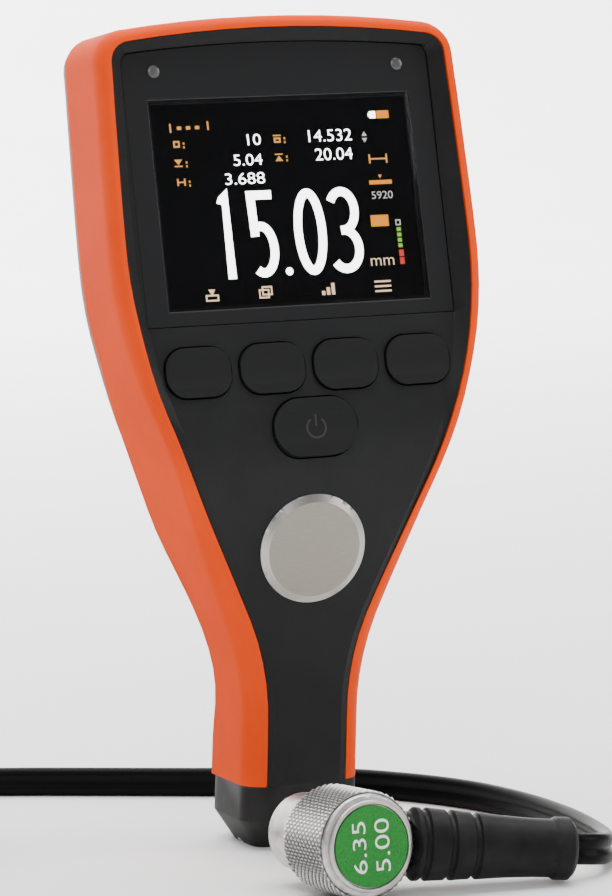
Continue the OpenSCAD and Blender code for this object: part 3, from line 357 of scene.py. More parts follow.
panel_black = new_finish("panel_black", (0.0115, 0.0118, 0.0125), rough=0.42)
dull(panel_black, 0.18)
film = grain(panel_black, 5200, 2)
vary(panel_black, film, 0.36, 0.48)
rough_up(panel_black, film, 0.12, 0.02)

# %% [markdown]
# The window is clear and polished: light goes through it to the display and only
# its surface shines. The display behind it is nearly black where nothing is lit.

# %% Window and display
clear_window = new_finish("clear_window", (0.9, 0.9, 0.92), rough=0.02)
shader_of(clear_window).inputs["Transmission Weight"].default_value = 1.0
shader_of(clear_window).inputs["IOR"].default_value = 1.2
vary(clear_window, grain(clear_window, 400, 4), 0.0, 0.05)

display_black = new_finish("display_black", (0.0015, 0.0015, 0.002), rough=0.3)
dull(display_black, 0.05)
vary(display_black, grain(display_black, 9000, 1), 0.25, 0.35)


def glow(name, colour, strength):
    """A lit finish, with dots of the panel a tenth of a millimetre apart."""
    material = new_finish(name, (0.0, 0.0, 0.0), rough=0.4)
    shader_of(material).inputs["Emission Strength"].default_value = strength
    between_dots = [c * 0.82 for c in colour]
    blend(material, grain(material, 9000, 0), between_dots, colour, 0.3, 0.6, "Emission Color")
    return material


lit_white = glow("lit_white", (0.95, 0.95, 0.95), 8.0)
lit_cream = glow("lit_cream", (0.95, 0.68, 0.4), 1.8)
lit_grey = glow("lit_grey", (0.75, 0.75, 0.72), 1.4)
lit_amber = glow("lit_amber", (1.0, 0.46, 0.08), 1.5)
lit_orange = glow("lit_orange", (1.0, 0.33, 0.01), 1.6)
lit_green = glow("lit_green", (0.3, 0.8, 0.05), 1.3)
lit_red = glow("lit_red", (0.9, 0.06, 0.04), 1.2)

# %% [markdown]
# Three kinds of steel are visible. The zero disc is ground flat, so its
# scratches run one way. The transducer is blasted, dull and even. The screws and
# plugs are plated and bright. The knurl's finish paints shade into its grooves and
# a highlight onto its peaks, after a number on each vertex that tells where it is.


# %% Metals
def by_attribute(material, attribute, dark, light):
    """Colour between two values after a number that each vertex carries."""
    source = material.node_tree.nodes.new("ShaderNodeAttribute")
    source.attribute_name = attribute
    blend(material, source, dark, light)


disc_steel = new_finish("disc_steel", (0.26, 0.24, 0.205), metal=1.0, rough=0.42)
lines = grain(disc_steel, 600, 5, (1, 1, 14))
tint(disc_steel, lines, (0.245, 0.228, 0.195), (0.28, 0.26, 0.225))
vary(disc_steel, lines, 0.36, 0.46)
rough_up(disc_steel, lines, 0.08, 0.02)

probe_steel = new_finish("probe_steel", (0.55, 0.53, 0.5), metal=1.0, rough=0.36)
blast = grain(probe_steel, 4500, 3)
tint(probe_steel, grain(probe_steel, 500, 4), (0.46, 0.44, 0.41), (0.62, 0.6, 0.58))
vary(probe_steel, blast, 0.34, 0.5)
rough_up(probe_steel, blast, 0.25, 0.03)

# A paler copy of the disc's steel, for a painted highlight on the polished rim
disc_rim_highlight = new_finish("disc_rim_highlight", (0.4, 0.385, 0.36), metal=1.0, rough=0.36)
vary(disc_rim_highlight, grain(disc_rim_highlight, 900, 4), 0.33, 0.38)

knurl_steel = new_finish("knurl_steel", (0.6, 0.58, 0.55), metal=1.0, rough=0.34)
# Painted shade in the knurl's grooves and a painted highlight on its peaks, after each vertex's
# height
by_attribute(knurl_steel, "tooth", (0.035, 0.034, 0.032), (0.85, 0.835, 0.81))
vary(knurl_steel, grain(knurl_steel, 3000, 3), 0.26, 0.44)

plated = new_finish("plated", (0.66, 0.65, 0.63), metal=1.0, rough=0.22)
vary(plated, grain(plated, 1200, 4), 0.16, 0.32)

gold_plate = new_finish("gold_plate", (0.85, 0.6, 0.22), metal=1.0, rough=0.25)
vary(gold_plate, grain(gold_plate, 1500, 3), 0.2, 0.34)

# %% [markdown]
# The transducer's green disc is anodised metal with a fine speckle. The boot and
# the plug are matt rubber, and the lead's jacket is a smoother, softer plastic.

# %% Label, rubbers and the rest
label_green = new_finish("label_green", (0.008, 0.17, 0.018), metal=0.1, rough=0.42)
dull(label_green, 0.3)
speck = grain(label_green, 3000, 4)
tint(label_green, speck, (0.006, 0.14, 0.015), (0.011, 0.21, 0.024))
rough_up(label_green, speck, 0.15, 0.02)

ink_white = new_finish("ink_white", (0.82, 0.84, 0.8), rough=0.5)
vary(ink_white, grain(ink_white, 2500, 3), 0.4, 0.6)

boot_rubber = new_finish("boot_rubber", (0.009, 0.009, 0.0093), rough=0.48)
dull(boot_rubber, 0.1)
tint(boot_rubber, grain(boot_rubber, 250, 4), (0.007, 0.007, 0.0073), (0.013, 0.013, 0.0133))
rough_up(boot_rubber, grain(boot_rubber, 2200, 3), 0.35, 0.04)

jacket = new_finish("lead_jacket", (0.004, 0.004, 0.0042), rough=0.26)
dull(jacket, 0.05)
fine = grain(jacket, 1800, 2)
vary(jacket, fine, 0.3, 0.4)
rough_up(jacket, fine, 0.12, 0.03)

board_green = new_finish("board_green", (0.02, 0.16, 0.06), rough=0.35)
tint(board_green, grain(board_green, 700, 2), (0.015, 0.13, 0.05), (0.03, 0.2, 0.08))
cell_sleeve = new_finish("cell_sleeve", (0.05, 0.18, 0.1), rough=0.3)
tint(cell_sleeve, grain(cell_sleeve, 200, 1), (0.045, 0.16, 0.09), (0.06, 0.2, 0.11))
lens_grey = new_finish("lens_grey", (0.075, 0.075, 0.078), rough=0.18)
vary(lens_grey, grain(lens_grey, 3000, 2), 0.12, 0.26)
white_insulator = new_finish("white_insulator", (0.7, 0.7, 0.68), rough=0.5)
rough_up(white_insulator, grain(white_insulator, 2500, 2), 0.1, 0.03)
resin = new_finish("lapped_resin", (0.5, 0.32, 0.1), rough=0.25)
tint(resin, grain(resin, 900, 4), (0.42, 0.26, 0.08), (0.56, 0.37, 0.13))
cork = new_finish("cork_sheet", (0.25, 0.14, 0.07), rough=0.8)
tint(cork, grain(cork, 1500, 4), (0.16, 0.08, 0.04), (0.36, 0.22, 0.12))

FINISH_OF_SLOT = {
    "casing": casing_black, "band": elastomer, "panel": panel_black, "window": clear_window,
    "screen": display_black, "lens": lens_grey, "key_rubber": key_rubber, "disc_steel": disc_steel,
    "screw_steel": plated, "board": board_green, "contact": gold_plate, "cell": cell_sleeve,
    "connector": plated, "insulator": white_insulator, "probe_steel": probe_steel,
    "label": label_green, "wear_resin": resin, "cork": cork, "ceramic": white_insulator,
    "soft_black": boot_rubber, "lead_jacket": jacket}


def paint(piece, material):
    """Give every face of a piece the same finish."""
    piece.data.materials.clear()
    piece.data.materials.append(material)
    for polygon in piece.data.polygons:
        polygon.material_index = 0


slot_of = {part["node"]: part["material_slot"] for part in frame["record"]["subparts"]}
for name, node in nodes.items():
    paint(node, FINISH_OF_SLOT[slot_of[name]])
paint(nodes["base_cap"], cap_black)
paint(twin_lead, jacket)
print("painted", len(nodes), "pieces")

# %% [markdown]
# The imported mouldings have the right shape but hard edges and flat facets. A
# rubber or moulded edge is always a little round, and its highlight is what makes
# it look real. So each visible one is copied, its loose triangles are joined, a
# small bevel rounds its edges, and shading by angle smooths the long curves. The
# four large mouldings have their round lips already, and get the shading alone.


# %% Rounded copies of the large mouldings
MERGE, NEARLY_FLAT, SHARP = 0.002 * MM, math.radians(0.6), math.radians(38)


def body_of(node):
    """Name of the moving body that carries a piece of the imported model."""
    bodies = frame["record"]["behaviour"]["bodies"]
    return next(body for body, names in bodies.items() if node in names)


def weigh_normals(piece):
    """Let large faces lead the shading, so that thin triangles beside them don't show."""
    only(piece)
    weigh = piece.modifiers.new("weigh", "WEIGHTED_NORMAL")
    weigh.mode = "FACE_AREA"
    weigh.keep_sharp = True
    bpy.ops.object.modifier_apply(modifier="weigh")


def rounded_copy(node, bevel, angle, steps=2, dissolve=True):
    """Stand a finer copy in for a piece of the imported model."""
    piece = nodes[node].copy()
    piece.data = nodes[node].data.copy()
    piece.name = piece.data.name = "fine_" + node
    bpy.context.scene.collection.objects.link(piece)
    piece.parent = None
    edit(piece)
    bpy.ops.mesh.select_all(action="SELECT")
    bpy.ops.mesh.remove_doubles(threshold=MERGE)
    if dissolve:
        bpy.ops.mesh.dissolve_limited(angle_limit=NEARLY_FLAT)
    done()
    if bevel:
        edge = piece.modifiers.new("edge", "BEVEL")
        edge.width = bevel
        edge.segments = steps
        edge.limit_method = "ANGLE"
        edge.angle_limit = SHARP
        bpy.ops.object.modifier_apply(modifier="edge")
    bpy.ops.object.shade_smooth_by_angle(angle=math.radians(angle))
    weigh_normals(piece)
    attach(piece, body_of(node))
    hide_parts(node)
    return piece


for node in ("front_casing", "rear_casing", "bumper_band", "base_cap"):
    large = rounded_copy(node, 0, angle=32, dissolve=False)
    print(large.name, len(large.data.polygons), "faces")

# %% [markdown]
# The front casing is made of long thin triangles, and a low light would show
# each of them. The front bends only from its foot to its top, so every height gets
# one normal, averaged from the faces near it. The dished strip under the arch
# bends only from side to side, so its normals turn evenly with the distance from
# the middle. Edges round the front are marked sharp, so that it stays apart.


# %% Even shading on the front
BAND, SPREAD = 2 * MM, 2
# Limits of a face's normal on the front and on the strip: ahead, to a side and downwards
FRONT_AHEAD, FRONT_SIDE, FRONT_DOWN = -0.6, 0.07, -0.35
STRIP_AHEAD, STRIP_SIDE, STRIP_DOWN = -0.7, 0.12, -0.4


def normals_by_height(mesh, faces):
    """One normal for each band of height, blurred over the bands beside it."""
    bands = int(max(v.co.z for v in mesh.vertices) / BAND) + 2
    sums = [Vector() for _ in range(bands)]
    for index in faces:
        polygon = mesh.polygons[index]
        sums[int(polygon.center.z / BAND)] += polygon.normal * polygon.area
    even = []
    for i in range(bands):
        total = Vector()
        for j in range(bands):
            total += sums[j] * math.exp(-((i - j) / SPREAD) ** 2)
        even.append(total.normalized())
    return even


def sharpen_round(mesh, faces):
    """Mark the edges where a set of faces meets the others."""
    sides = {}
    for polygon in mesh.polygons:
        for key in polygon.edge_keys:
            sides.setdefault(key, set()).add(polygon.index in faces)
    for edge in mesh.edges:
        if len(sides.get(edge.key, ())) > 1:
            edge.use_edge_sharp = True


def even_front(mesh, normals, faces, even):
    """Give each corner on the front the normal of its own height."""
    for index in faces:
        for corner in mesh.polygons[index].loop_indices:
            height = mesh.vertices[mesh.loops[corner].vertex_index].co.z / BAND - 0.5
            low = max(0, min(len(even) - 2, int(height)))
            part = max(0, min(1, height - low))
            normals[corner] = tuple(even[low].lerp(even[low + 1], part).normalized())


def even_strip(mesh, normals):
    """Turn the normals of the dished strip in step with the distance from the middle."""
    strip = [p for p in mesh.polygons if p.normal.y < STRIP_AHEAD
             and p.normal.z < STRIP_DOWN and abs(p.normal.x) < STRIP_SIDE]
    mean, turn, reach = Vector(), 0.0, 0.0
    for polygon in strip:
        mean += polygon.normal * polygon.area
        turn += polygon.normal.x * polygon.center.x * polygon.area
        reach += polygon.center.x ** 2 * polygon.area
    mean.normalize()
    for polygon in strip:
        for corner in polygon.loop_indices:
            along = mesh.vertices[mesh.loops[corner].vertex_index].co.x
            normals[corner] = tuple(Vector((turn / reach * along, mean.y, mean.z)).normalized())
    print("dished strip", len(strip), "faces")


fascia = bpy.data.objects["fine_front_casing"]
front = {p.index for p in fascia.data.polygons if p.normal.y < FRONT_AHEAD
         and abs(p.normal.x) < FRONT_SIDE and p.normal.z > FRONT_DOWN}
by_height = normals_by_height(fascia.data, front)
sharpen_round(fascia.data, front)
weigh_normals(fascia)
corner_normals = [tuple(n.vector) for n in fascia.data.corner_normals]
even_front(fascia.data, corner_normals, front, by_height)
even_strip(fascia.data, corner_normals)
fascia.data.normals_split_custom_set(corner_normals)
print("front", len(front), "faces,", len(by_height), "bands")

# %% [markdown]
# The keys are soft, so their edges get the widest bevel. The zero disc has a flat
# ground face and a polished rim. Wherever a face turns away from the largest one,
# the rim takes a second finish, a paler steel that paints its highlight. The smaller
# pieces get a narrow bevel each.

# %% Rounded copies of the smaller pieces
KEYS, KEY_BEVEL = ("soft_key_1", "soft_key_2", "soft_key_3", "soft_key_4", "power_key"), 0.45
for node in KEYS:
    rounded_copy(node, KEY_BEVEL * MM, angle=40, steps=3, dissolve=False)

RIM_ANGLE = math.radians(8)
disc = rounded_copy("zero_disc", 0, angle=14)
# The rim's faces take the paler steel: a painted highlight
disc.data.materials.append(disc_rim_highlight)
ground = max((p for p in disc.data.polygons if p.normal.y < 0), key=lambda p: p.area)
for polygon in disc.data.polygons:
    polygon.material_index = 1 if polygon.normal.angle(ground.normal) > RIM_ANGLE else 0

BEVELS = {"battery_cover": 0.25, "display_panel": 0.12, "cable_boot": 0.2, "lead_plug": 0.4,
          "probe_nose": 0.12, "probe_cap": 0.15, "cover_screw": 0.1, "plug_barrels": 0.1}
for node, bevel in BEVELS.items():
    rounded_copy(node, bevel * MM, angle=35)
print("rounded copies of", len(KEYS) + 1 + len(BEVELS), "smaller pieces")

# %% [markdown]
# The lead is a cord: it may be laid another way when the gauge is used in a room.
# Its exit at the boot is printed here.

# %% The lead as a cord
print("cord from", [round(v, 4) for v in BOOT_END])


# %% [markdown]
# The head's small pieces are placed in the head's own frame: x to the right, the
# distance up along the face, and the distance out of it. The frame repeats the
# lean of the head in the part's source, so a place on the screen is two numbers.


# %% Frame of the head
LEAN_SIN, LEAN_COS = 0.979925, 0.199368
HEAD_Y, HEAD_Z = -37.608, 0.558
HEAD = Matrix((
    (MM, 0, 0, 0),
    (0, LEAN_COS * MM, -LEAN_SIN * MM, HEAD_Y * MM),
    (0, LEAN_SIN * MM, LEAN_COS * MM, HEAD_Z * MM),
    (0, 0, 0, 1)))
PICTURE_W, PICTURE_H, PICTURE_UP, PICTURE_OUT = 48.96, 36.72, 116.3, -1.84
# Width of a thin line as a part of the picture's width, and the figures' weight
LINE, FIGURE_WEIGHT = 0.006, -0.006


def on_screen(u, v):
    """Place of a screen point, with u and v from 0 to 1, from the top left."""
    return (u - 0.5) * PICTURE_W, PICTURE_UP + (0.5 - v) * PICTURE_H


def fit_to(piece, u0, v0, u1, v1, out=PICTURE_OUT):
    """Stretch a flat piece over a rectangle of the screen."""
    xs = [v.co.x for v in piece.data.vertices]
    ys = [v.co.y for v in piece.data.vertices]
    (x0, y1), (x1, y0) = on_screen(u0, v0), on_screen(u1, v1)
    grow_x, grow_y = (x1 - x0) / (max(xs) - min(xs)), (y1 - y0) / (max(ys) - min(ys))
    place = Matrix.Translation((x0 - min(xs) * grow_x, y0 - min(ys) * grow_y, out))
    piece.data.transform(HEAD @ place @ Matrix.Diagonal((grow_x, grow_y, 1, 1)))
    return piece


def patch(u0, v0, u1, v1, out=PICTURE_OUT):
    """A filled rectangle on the screen."""
    bpy.ops.object.select_all(action="DESELECT")
    bpy.ops.mesh.primitive_plane_add(size=1)
    return fit_to(bpy.context.object, u0, v0, u1, v1, out)


def letters(body, weight):
    """Text as a flat mesh. A weight below 0 thins its strokes."""
    bpy.ops.object.select_all(action="DESELECT")
    bpy.ops.object.text_add()
    bpy.context.object.data.body = body
    bpy.context.object.data.offset = weight
    bpy.ops.object.convert(target="MESH")
    return bpy.context.object


def lettering(body, u0, v0, u1, v1):
    """Small figures that fill a rectangle of the screen."""
    return fit_to(letters(body, FIGURE_WEIGHT), u0, v0, u1, v1)


def hollow_patch(u0, v0, u1, v1, line=LINE):
    """The outline of a rectangle, of even width on all sides."""
    high = line * PICTURE_W / PICTURE_H
    return [patch(u0, v0, u1, v0 + high), patch(u0, v1 - high, u1, v1),
            patch(u0, v0, u0 + line, v1), patch(u1 - line, v0, u1, v1)]


def join(pieces, name):
    """Make one piece of many, under its own name."""
    bpy.ops.object.select_all(action="DESELECT")
    for piece in pieces:
        piece.select_set(True)
    bpy.context.view_layer.objects.active = pieces[0]
    bpy.ops.object.join()
    joined = bpy.context.object
    joined.name = joined.data.name = name
    return joined


print("head's frame at", [round(v, 4) for v in HEAD.translation])


# %% [markdown]
# The reading on the screen is four tall figures drawn with one even stroke. Each
# figure is a line of points, from straight runs and parts of ellipses, and the
# stroke is a ribbon laid along that line.


# %% The large reading
def arc(cx, cy, rx, ry, start, end, steps=20):
    """Points along part of an ellipse, from one angle to another in degrees."""
    turns = [math.radians(start + (end - start) * k / steps) for k in range(steps + 1)]
    return [(cx + rx * math.cos(a), cy + ry * math.sin(a)) for a in turns]


def ribbon(points, width, out, name, closed=False):
    """A flat stroke of even width along points that are millimetres on the head."""
    count = len(points)
    verts = []
    for i, (x, y) in enumerate(points):
        before = points[(i - 1) % count] if closed or i else points[0]
        after = points[(i + 1) % count] if closed or i < count - 1 else points[-1]
        first = Vector((x - before[0], y - before[1])).normalized()
        second = Vector((after[0] - x, after[1] - y)).normalized()
        first, second = first if first.length else second, second if second.length else first
        middle = (first + second).normalized()
        reach = width / 2 / max(middle.dot(first), 0.5)
        side = Vector((-middle.y, middle.x)) * reach
        verts += [(x + side.x, y + side.y, out), (x - side.x, y - side.y, out)]
    runs = count if closed else count - 1
    faces = [(2 * i, 2 * i + 1, (2 * i + 3) % (2 * count), (2 * i + 2) % (2 * count))
             for i in range(runs)]
    mesh = bpy.data.meshes.new(name)
    mesh.from_pydata([tuple(HEAD @ Vector(v)) for v in verts], [], faces)
    mesh.update()
    piece = bpy.data.objects.new(name, mesh)
    bpy.context.scene.collection.objects.link(piece)
    return piece


STROKE = 1.55
FIGURE_TOP, FIGURE_FOOT, ROUND_STEPS = 0.443, 0.857, 40
ROUND = arc(0.5, 0.5, 0.5, 0.5, 90, 450 - 360 / ROUND_STEPS, ROUND_STEPS - 1)
# Each figure: its left and right edge on the screen, and its strokes from 0 to 1
FIGURES = (
    (0.226, 0.275, ([(0, 0.9), (0.42, 0.965), (1, 1), (1, -0.055)],)),
    (0.334, 0.445, ([(1.1, 1), (0.08, 1), (0.14, 0.47)], arc(0.42, 0.3, 0.58, 0.3, 128, -122))),
    (0.511, 0.634, (ROUND,)),
    (0.652, 0.77, (arc(0.4, 0.75, 0.56, 0.25, 150, -90), arc(0.38, 0.25, 0.62, 0.25, 100, -140))))
ROUND_FIGURE = 2
reading = []
for figure, (u0, u1, strokes) in enumerate(FIGURES):
    (x0, y1), (x1, y0) = on_screen(u0, FIGURE_TOP), on_screen(u1, FIGURE_FOOT)
    x0, x1, y0, y1 = x0 + STROKE / 2, x1 - STROKE / 2, y0 + STROKE / 2, y1 - STROKE / 2
    for shape in strokes:
        line = [(x0 + (x1 - x0) * a, y0 + (y1 - y0) * b) for a, b in shape]
        reading.append(ribbon(line, STROKE, PICTURE_OUT, "figure", figure == ROUND_FIGURE))
bpy.ops.object.select_all(action="DESELECT")
bpy.ops.mesh.primitive_circle_add(vertices=24, radius=1, fill_type="NGON")
reading.append(fit_to(bpy.context.object, 0.463, 0.815, 0.491, 0.853))
print("reading drawn")

# %% [markdown]
# Small figures stand in rows above the reading, and a plain battery is in the
# corner. All of them glow white, so they join the reading in one piece. Each is
# given by its left, top, right and lower edge, as parts of the picture's size.


# %% Small figures
def arrow(u, v, wide, high, up=1):
    """A solid arrowhead, with its middle at u and its upper edge at v."""
    bpy.ops.object.select_all(action="DESELECT")
    bpy.ops.mesh.primitive_circle_add(vertices=3, radius=1, fill_type="NGON")
    piece = bpy.context.object
    if up < 0:
        piece.data.transform(Matrix.Rotation(math.pi, 4, "Z"))
    return fit_to(piece, u - wide / 2, v, u + wide / 2, v + high)


white = reading + [
    lettering("10", 0.369, 0.172, 0.42, 0.224), lettering("14.532", 0.604, 0.164, 0.771, 0.221),
    lettering("5.04", 0.309, 0.267, 0.418, 0.32), lettering("20.04", 0.623, 0.254, 0.767, 0.311),
    lettering("3.688", 0.27, 0.355, 0.42, 0.409)]
white += [patch(0.848, 0.084, 0.872, 0.118), patch(0.843, 0.093, 0.849, 0.109)]
cream = [lettering("mm", 0.793, 0.792, 0.884, 0.829)]

grey = [arrow(0.82, 0.18, 0.02, 0.022), arrow(0.82, 0.212, 0.02, 0.022, -1)]
grey += [lettering("5920", 0.824, 0.472, 0.906, 0.508)]
grey += hollow_patch(0.905, 0.612, 0.925, 0.64, 0.004)
print("small figures drawn")

# %% [markdown]
# Amber marks stand where a gauge has its words. A plain sign leads each small
# figure, and the marks down the right side are a gap between two walls, a bar under
# an arrow, a box and a column of signal cells. Four pictograms stand over the keys.


# %% Marks on the screen
MARK_HIGH = 0.036


def colon(u, v):
    return [patch(u, v + MARK_HIGH * a, u + LINE, v + MARK_HIGH * a + 0.01) for a in (0.3, 0.8)]


orange = [patch(0.876, 0.082, 0.924, 0.12), patch(0.81, 0.586, 0.879, 0.641),
          patch(0.82, 0.418, 0.908, 0.438)]

# A row of dashes between two walls
amber = [patch(0.08, 0.108, 0.086, 0.15), patch(0.222, 0.102, 0.228, 0.144)]
amber += [patch(0.108 + 0.034 * k, 0.122, 0.124 + 0.034 * k, 0.138) for k in range(3)]
# A mark before each small figure: a square, a fall, a spread, a mean and a rise
amber += hollow_patch(0.088, 0.19, 0.112, 0.222) + colon(0.124, 0.188)
amber += [arrow(0.1, 0.279, 0.03, 0.026, -1), patch(0.085, 0.308, 0.115, 0.314)]
amber += colon(0.128, 0.278)
amber += [patch(0.088, 0.37, 0.094, 0.404), patch(0.094, 0.384, 0.114, 0.39),
          patch(0.114, 0.37, 0.12, 0.404)] + colon(0.132, 0.37)
amber += [patch(0.468, 0.18, 0.498, 0.186)] + hollow_patch(0.47, 0.193, 0.496, 0.218)
amber += colon(0.508, 0.182)
amber += [patch(0.468, 0.27, 0.498, 0.276), arrow(0.483, 0.28, 0.03, 0.026)] + colon(0.51, 0.27)
# An arrow over the bar, and a gap between two walls
amber += [arrow(0.864, 0.392, 0.014, 0.018, -1)]
amber += [patch(0.828, 0.292, 0.834, 0.336), patch(0.834, 0.311, 0.894, 0.318),
          patch(0.894, 0.292, 0.9, 0.336)]
# Pictograms over the four keys: a tray, a loop of records, a graph and a list
cream += hollow_patch(0.15, 0.925, 0.2, 0.957) + [arrow(0.175, 0.9, 0.026, 0.034, -1)]
cream += hollow_patch(0.352, 0.912, 0.392, 0.956) + hollow_patch(0.364, 0.898, 0.404, 0.942)
cream += [patch(0.592 + 0.019 * k, 0.956 - high, 0.605 + 0.019 * k, 0.956)
          for k, high in enumerate((0.02, 0.036, 0.056))]
cream += [patch(0.798, v, 0.862, v + 0.009) for v in (0.901, 0.924, 0.947)]
# Signal cells in a column
green = [patch(0.907, 0.65 + 0.026 * k, 0.923, 0.668 + 0.026 * k) for k in range(4)]
red = [patch(0.907, 0.758, 0.925, 0.79), patch(0.907, 0.795, 0.925, 0.828)]

PICTURE = (("picture_white", white, lit_white), ("picture_cream", cream, lit_cream),
           ("picture_grey", grey, lit_grey), ("picture_orange", orange, lit_orange),
           ("picture_amber", amber, lit_amber), ("picture_green", green, lit_green),
           ("picture_red", red, lit_red))
for name, pieces, finish in PICTURE:
    joined = join(pieces, name)
    paint(joined, finish)
    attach(joined, "gauge")
print("picture drawn in", len(PICTURE), "colours")

# %% [markdown]
# The edge of the panel's opening catches the light as one thin line round the
# picture. At this size a flat grey frame, laid just over the window, paints that highlight.

# %% Painted highlight round the picture
BORDER, BORDER_OUT = 0.003, -0.66
border = join([patch(-BORDER, -BORDER, 1 + BORDER, -BORDER / 4, BORDER_OUT),
               patch(-BORDER, 1 + BORDER / 4, 1 + BORDER, 1 + BORDER, BORDER_OUT),
               patch(-BORDER, 0, -BORDER / 4, 1, BORDER_OUT),
               patch(1 + BORDER / 4, 0, 1 + BORDER, 1, BORDER_OUT)], "picture_border")
# A grey a little paler than the panel: the painted highlight of the opening's edge
edge_highlight_grey = new_finish("edge_highlight_grey", (0.05, 0.05, 0.052), rough=0.4)
vary(edge_highlight_grey, grain(edge_highlight_grey, 2500, 2), 0.34, 0.48)
paint(border, edge_highlight_grey)
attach(border, "gauge")
print("line round the picture", BORDER * PICTURE_W, "mm wide")


# %% [markdown]
# The transducer's sleeve has a diamond knurl. A flat grid as long as the sleeve's
# girth is poked, its first edges are dissolved, so that diamonds stay, and a
# second poke raises each diamond's middle. The height of each point is kept as a
# number for the finish, which paints shade into the grooves and a highlight on the peaks.


# %% Knurled sheet
SLEEVE_R, SLEEVE_FROM, SLEEVE_TO, CELL, TOOTH = 8.72, 1.5, 14.1, 1.2, 0.39
girth = 2 * math.pi * SLEEVE_R
cells_round, cells_long = round(girth / CELL), round((SLEEVE_TO - SLEEVE_FROM) / CELL)
bpy.ops.object.select_all(action="DESELECT")
bpy.ops.mesh.primitive_grid_add(x_subdivisions=cells_round, y_subdivisions=cells_long, size=1)
sleeve = bpy.context.object
sleeve.name = sleeve.data.name = "knurled_sleeve"
sleeve.data.transform(Matrix.Diagonal((girth, SLEEVE_TO - SLEEVE_FROM, 1, 1)))
corners = len(sleeve.data.vertices)
edit(sleeve)
bpy.ops.mesh.select_all(action="SELECT")
bpy.ops.mesh.poke()
bpy.ops.mesh.select_mode(type="EDGE")
bpy.ops.mesh.select_all(action="DESELECT")
done()
for edge in sleeve.data.edges:
    edge.select = max(edge.vertices) < corners
edit(sleeve)
bpy.ops.mesh.dissolve_edges(use_verts=False)
bpy.ops.mesh.select_all(action="SELECT")
bpy.ops.mesh.poke(offset=TOOTH)
done()
# Heights from groove to peak, which the knurl's finish turns into painted shade and painted
# highlight
heights = [max(0, min(1, vertex.co.z / TOOTH)) for vertex in sleeve.data.vertices]
sleeve.data.attributes.new("tooth", "FLOAT", "POINT").data.foreach_set("value", heights)
print("knurl", cells_round, "x", cells_long, "cells")

# %% [markdown]
# The sheet is rolled round the transducer's own axis, and its seam is closed where
# its two ends meet. The plain shell under it is turned down to the foot of the
# teeth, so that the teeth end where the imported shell's surface is.

# %% Knurl rolled round the shell
PROBE_AT, PROBE_YAW, PROBE_DIP = (-8.9, -62.2, 9.857), math.radians(5.8), math.radians(3.0)
PROBE = (Matrix.Diagonal((MM, MM, MM, 1)) @ Matrix.Translation(PROBE_AT)
         @ Matrix.Rotation(PROBE_YAW, 4, "Z") @ Matrix.Rotation(-PROBE_DIP, 4, "X"))
for vertex in sleeve.data.vertices:
    turn = vertex.co.x / SLEEVE_R
    radius = SLEEVE_R + vertex.co.z
    along = vertex.co.y + (SLEEVE_FROM + SLEEVE_TO) / 2
    vertex.co = (radius * math.sin(turn), along, radius * math.cos(turn))
sleeve.data.transform(PROBE)
core = rounded_copy("probe_shell", 0, angle=35)
for vertex in core.data.vertices:
    place = PROBE.inverted() @ vertex.co
    radius = math.hypot(place.x, place.z)
    if radius > SLEEVE_R and place.y < SLEEVE_TO:
        place.x, place.z = place.x * SLEEVE_R / radius, place.z * SLEEVE_R / radius
        vertex.co = PROBE @ place
paint(core, probe_steel)
edit(sleeve)
bpy.ops.mesh.select_all(action="SELECT")
bpy.ops.mesh.remove_doubles(threshold=0.001 * MM)
bpy.ops.mesh.normals_make_consistent(inside=False)
done()
paint(sleeve, knurl_steel)
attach(sleeve, "gauge")
print("knurl", len(sleeve.data.polygons), "faces")

# %% [markdown]
# Two plain numbers are printed on the green disc. They read upwards, as such discs
# are marked so that they can be read with the lead to the right.


# %% Numbers on the disc
PRINT_LIFT, PRINT_WEIGHT = 0.03, -0.004


def disc_number(body, across, tall, long):
    """Lettering on the transducer's end, with its foot to the right."""
    piece = letters(body, PRINT_WEIGHT)
    xs = [v.co.x for v in piece.data.vertices]
    ys = [v.co.y for v in piece.data.vertices]
    grow_x, grow_y = long / (max(xs) - min(xs)), tall / (max(ys) - min(ys))
    middle = Matrix.Translation((-(min(xs) + max(xs)) / 2, -(min(ys) + max(ys)) / 2, 0))
    upright = Matrix(((0, -1, 0, across), (0, 0, -1, -PRINT_LIFT), (1, 0, 0, 0), (0, 0, 0, 1)))
    piece.data.transform(PROBE @ upright @ Matrix.Diagonal((grow_x, grow_y, 1, 1)) @ middle)
    return piece


numbers = [disc_number("6.35", -2.3, 2.5, 8.6), disc_number("5.00", 2.0, 2.7, 8.8)]
numbers = join(numbers, "disc_numbers")
paint(numbers, ink_white)
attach(numbers, "gauge")
print("disc numbers", len(numbers.data.polygons), "faces")

# %% [markdown]
# The two indicator lenses are shallow domes in dark collars. A ball is flattened
# along the face's normal, and only its front half stands proud of the panel.


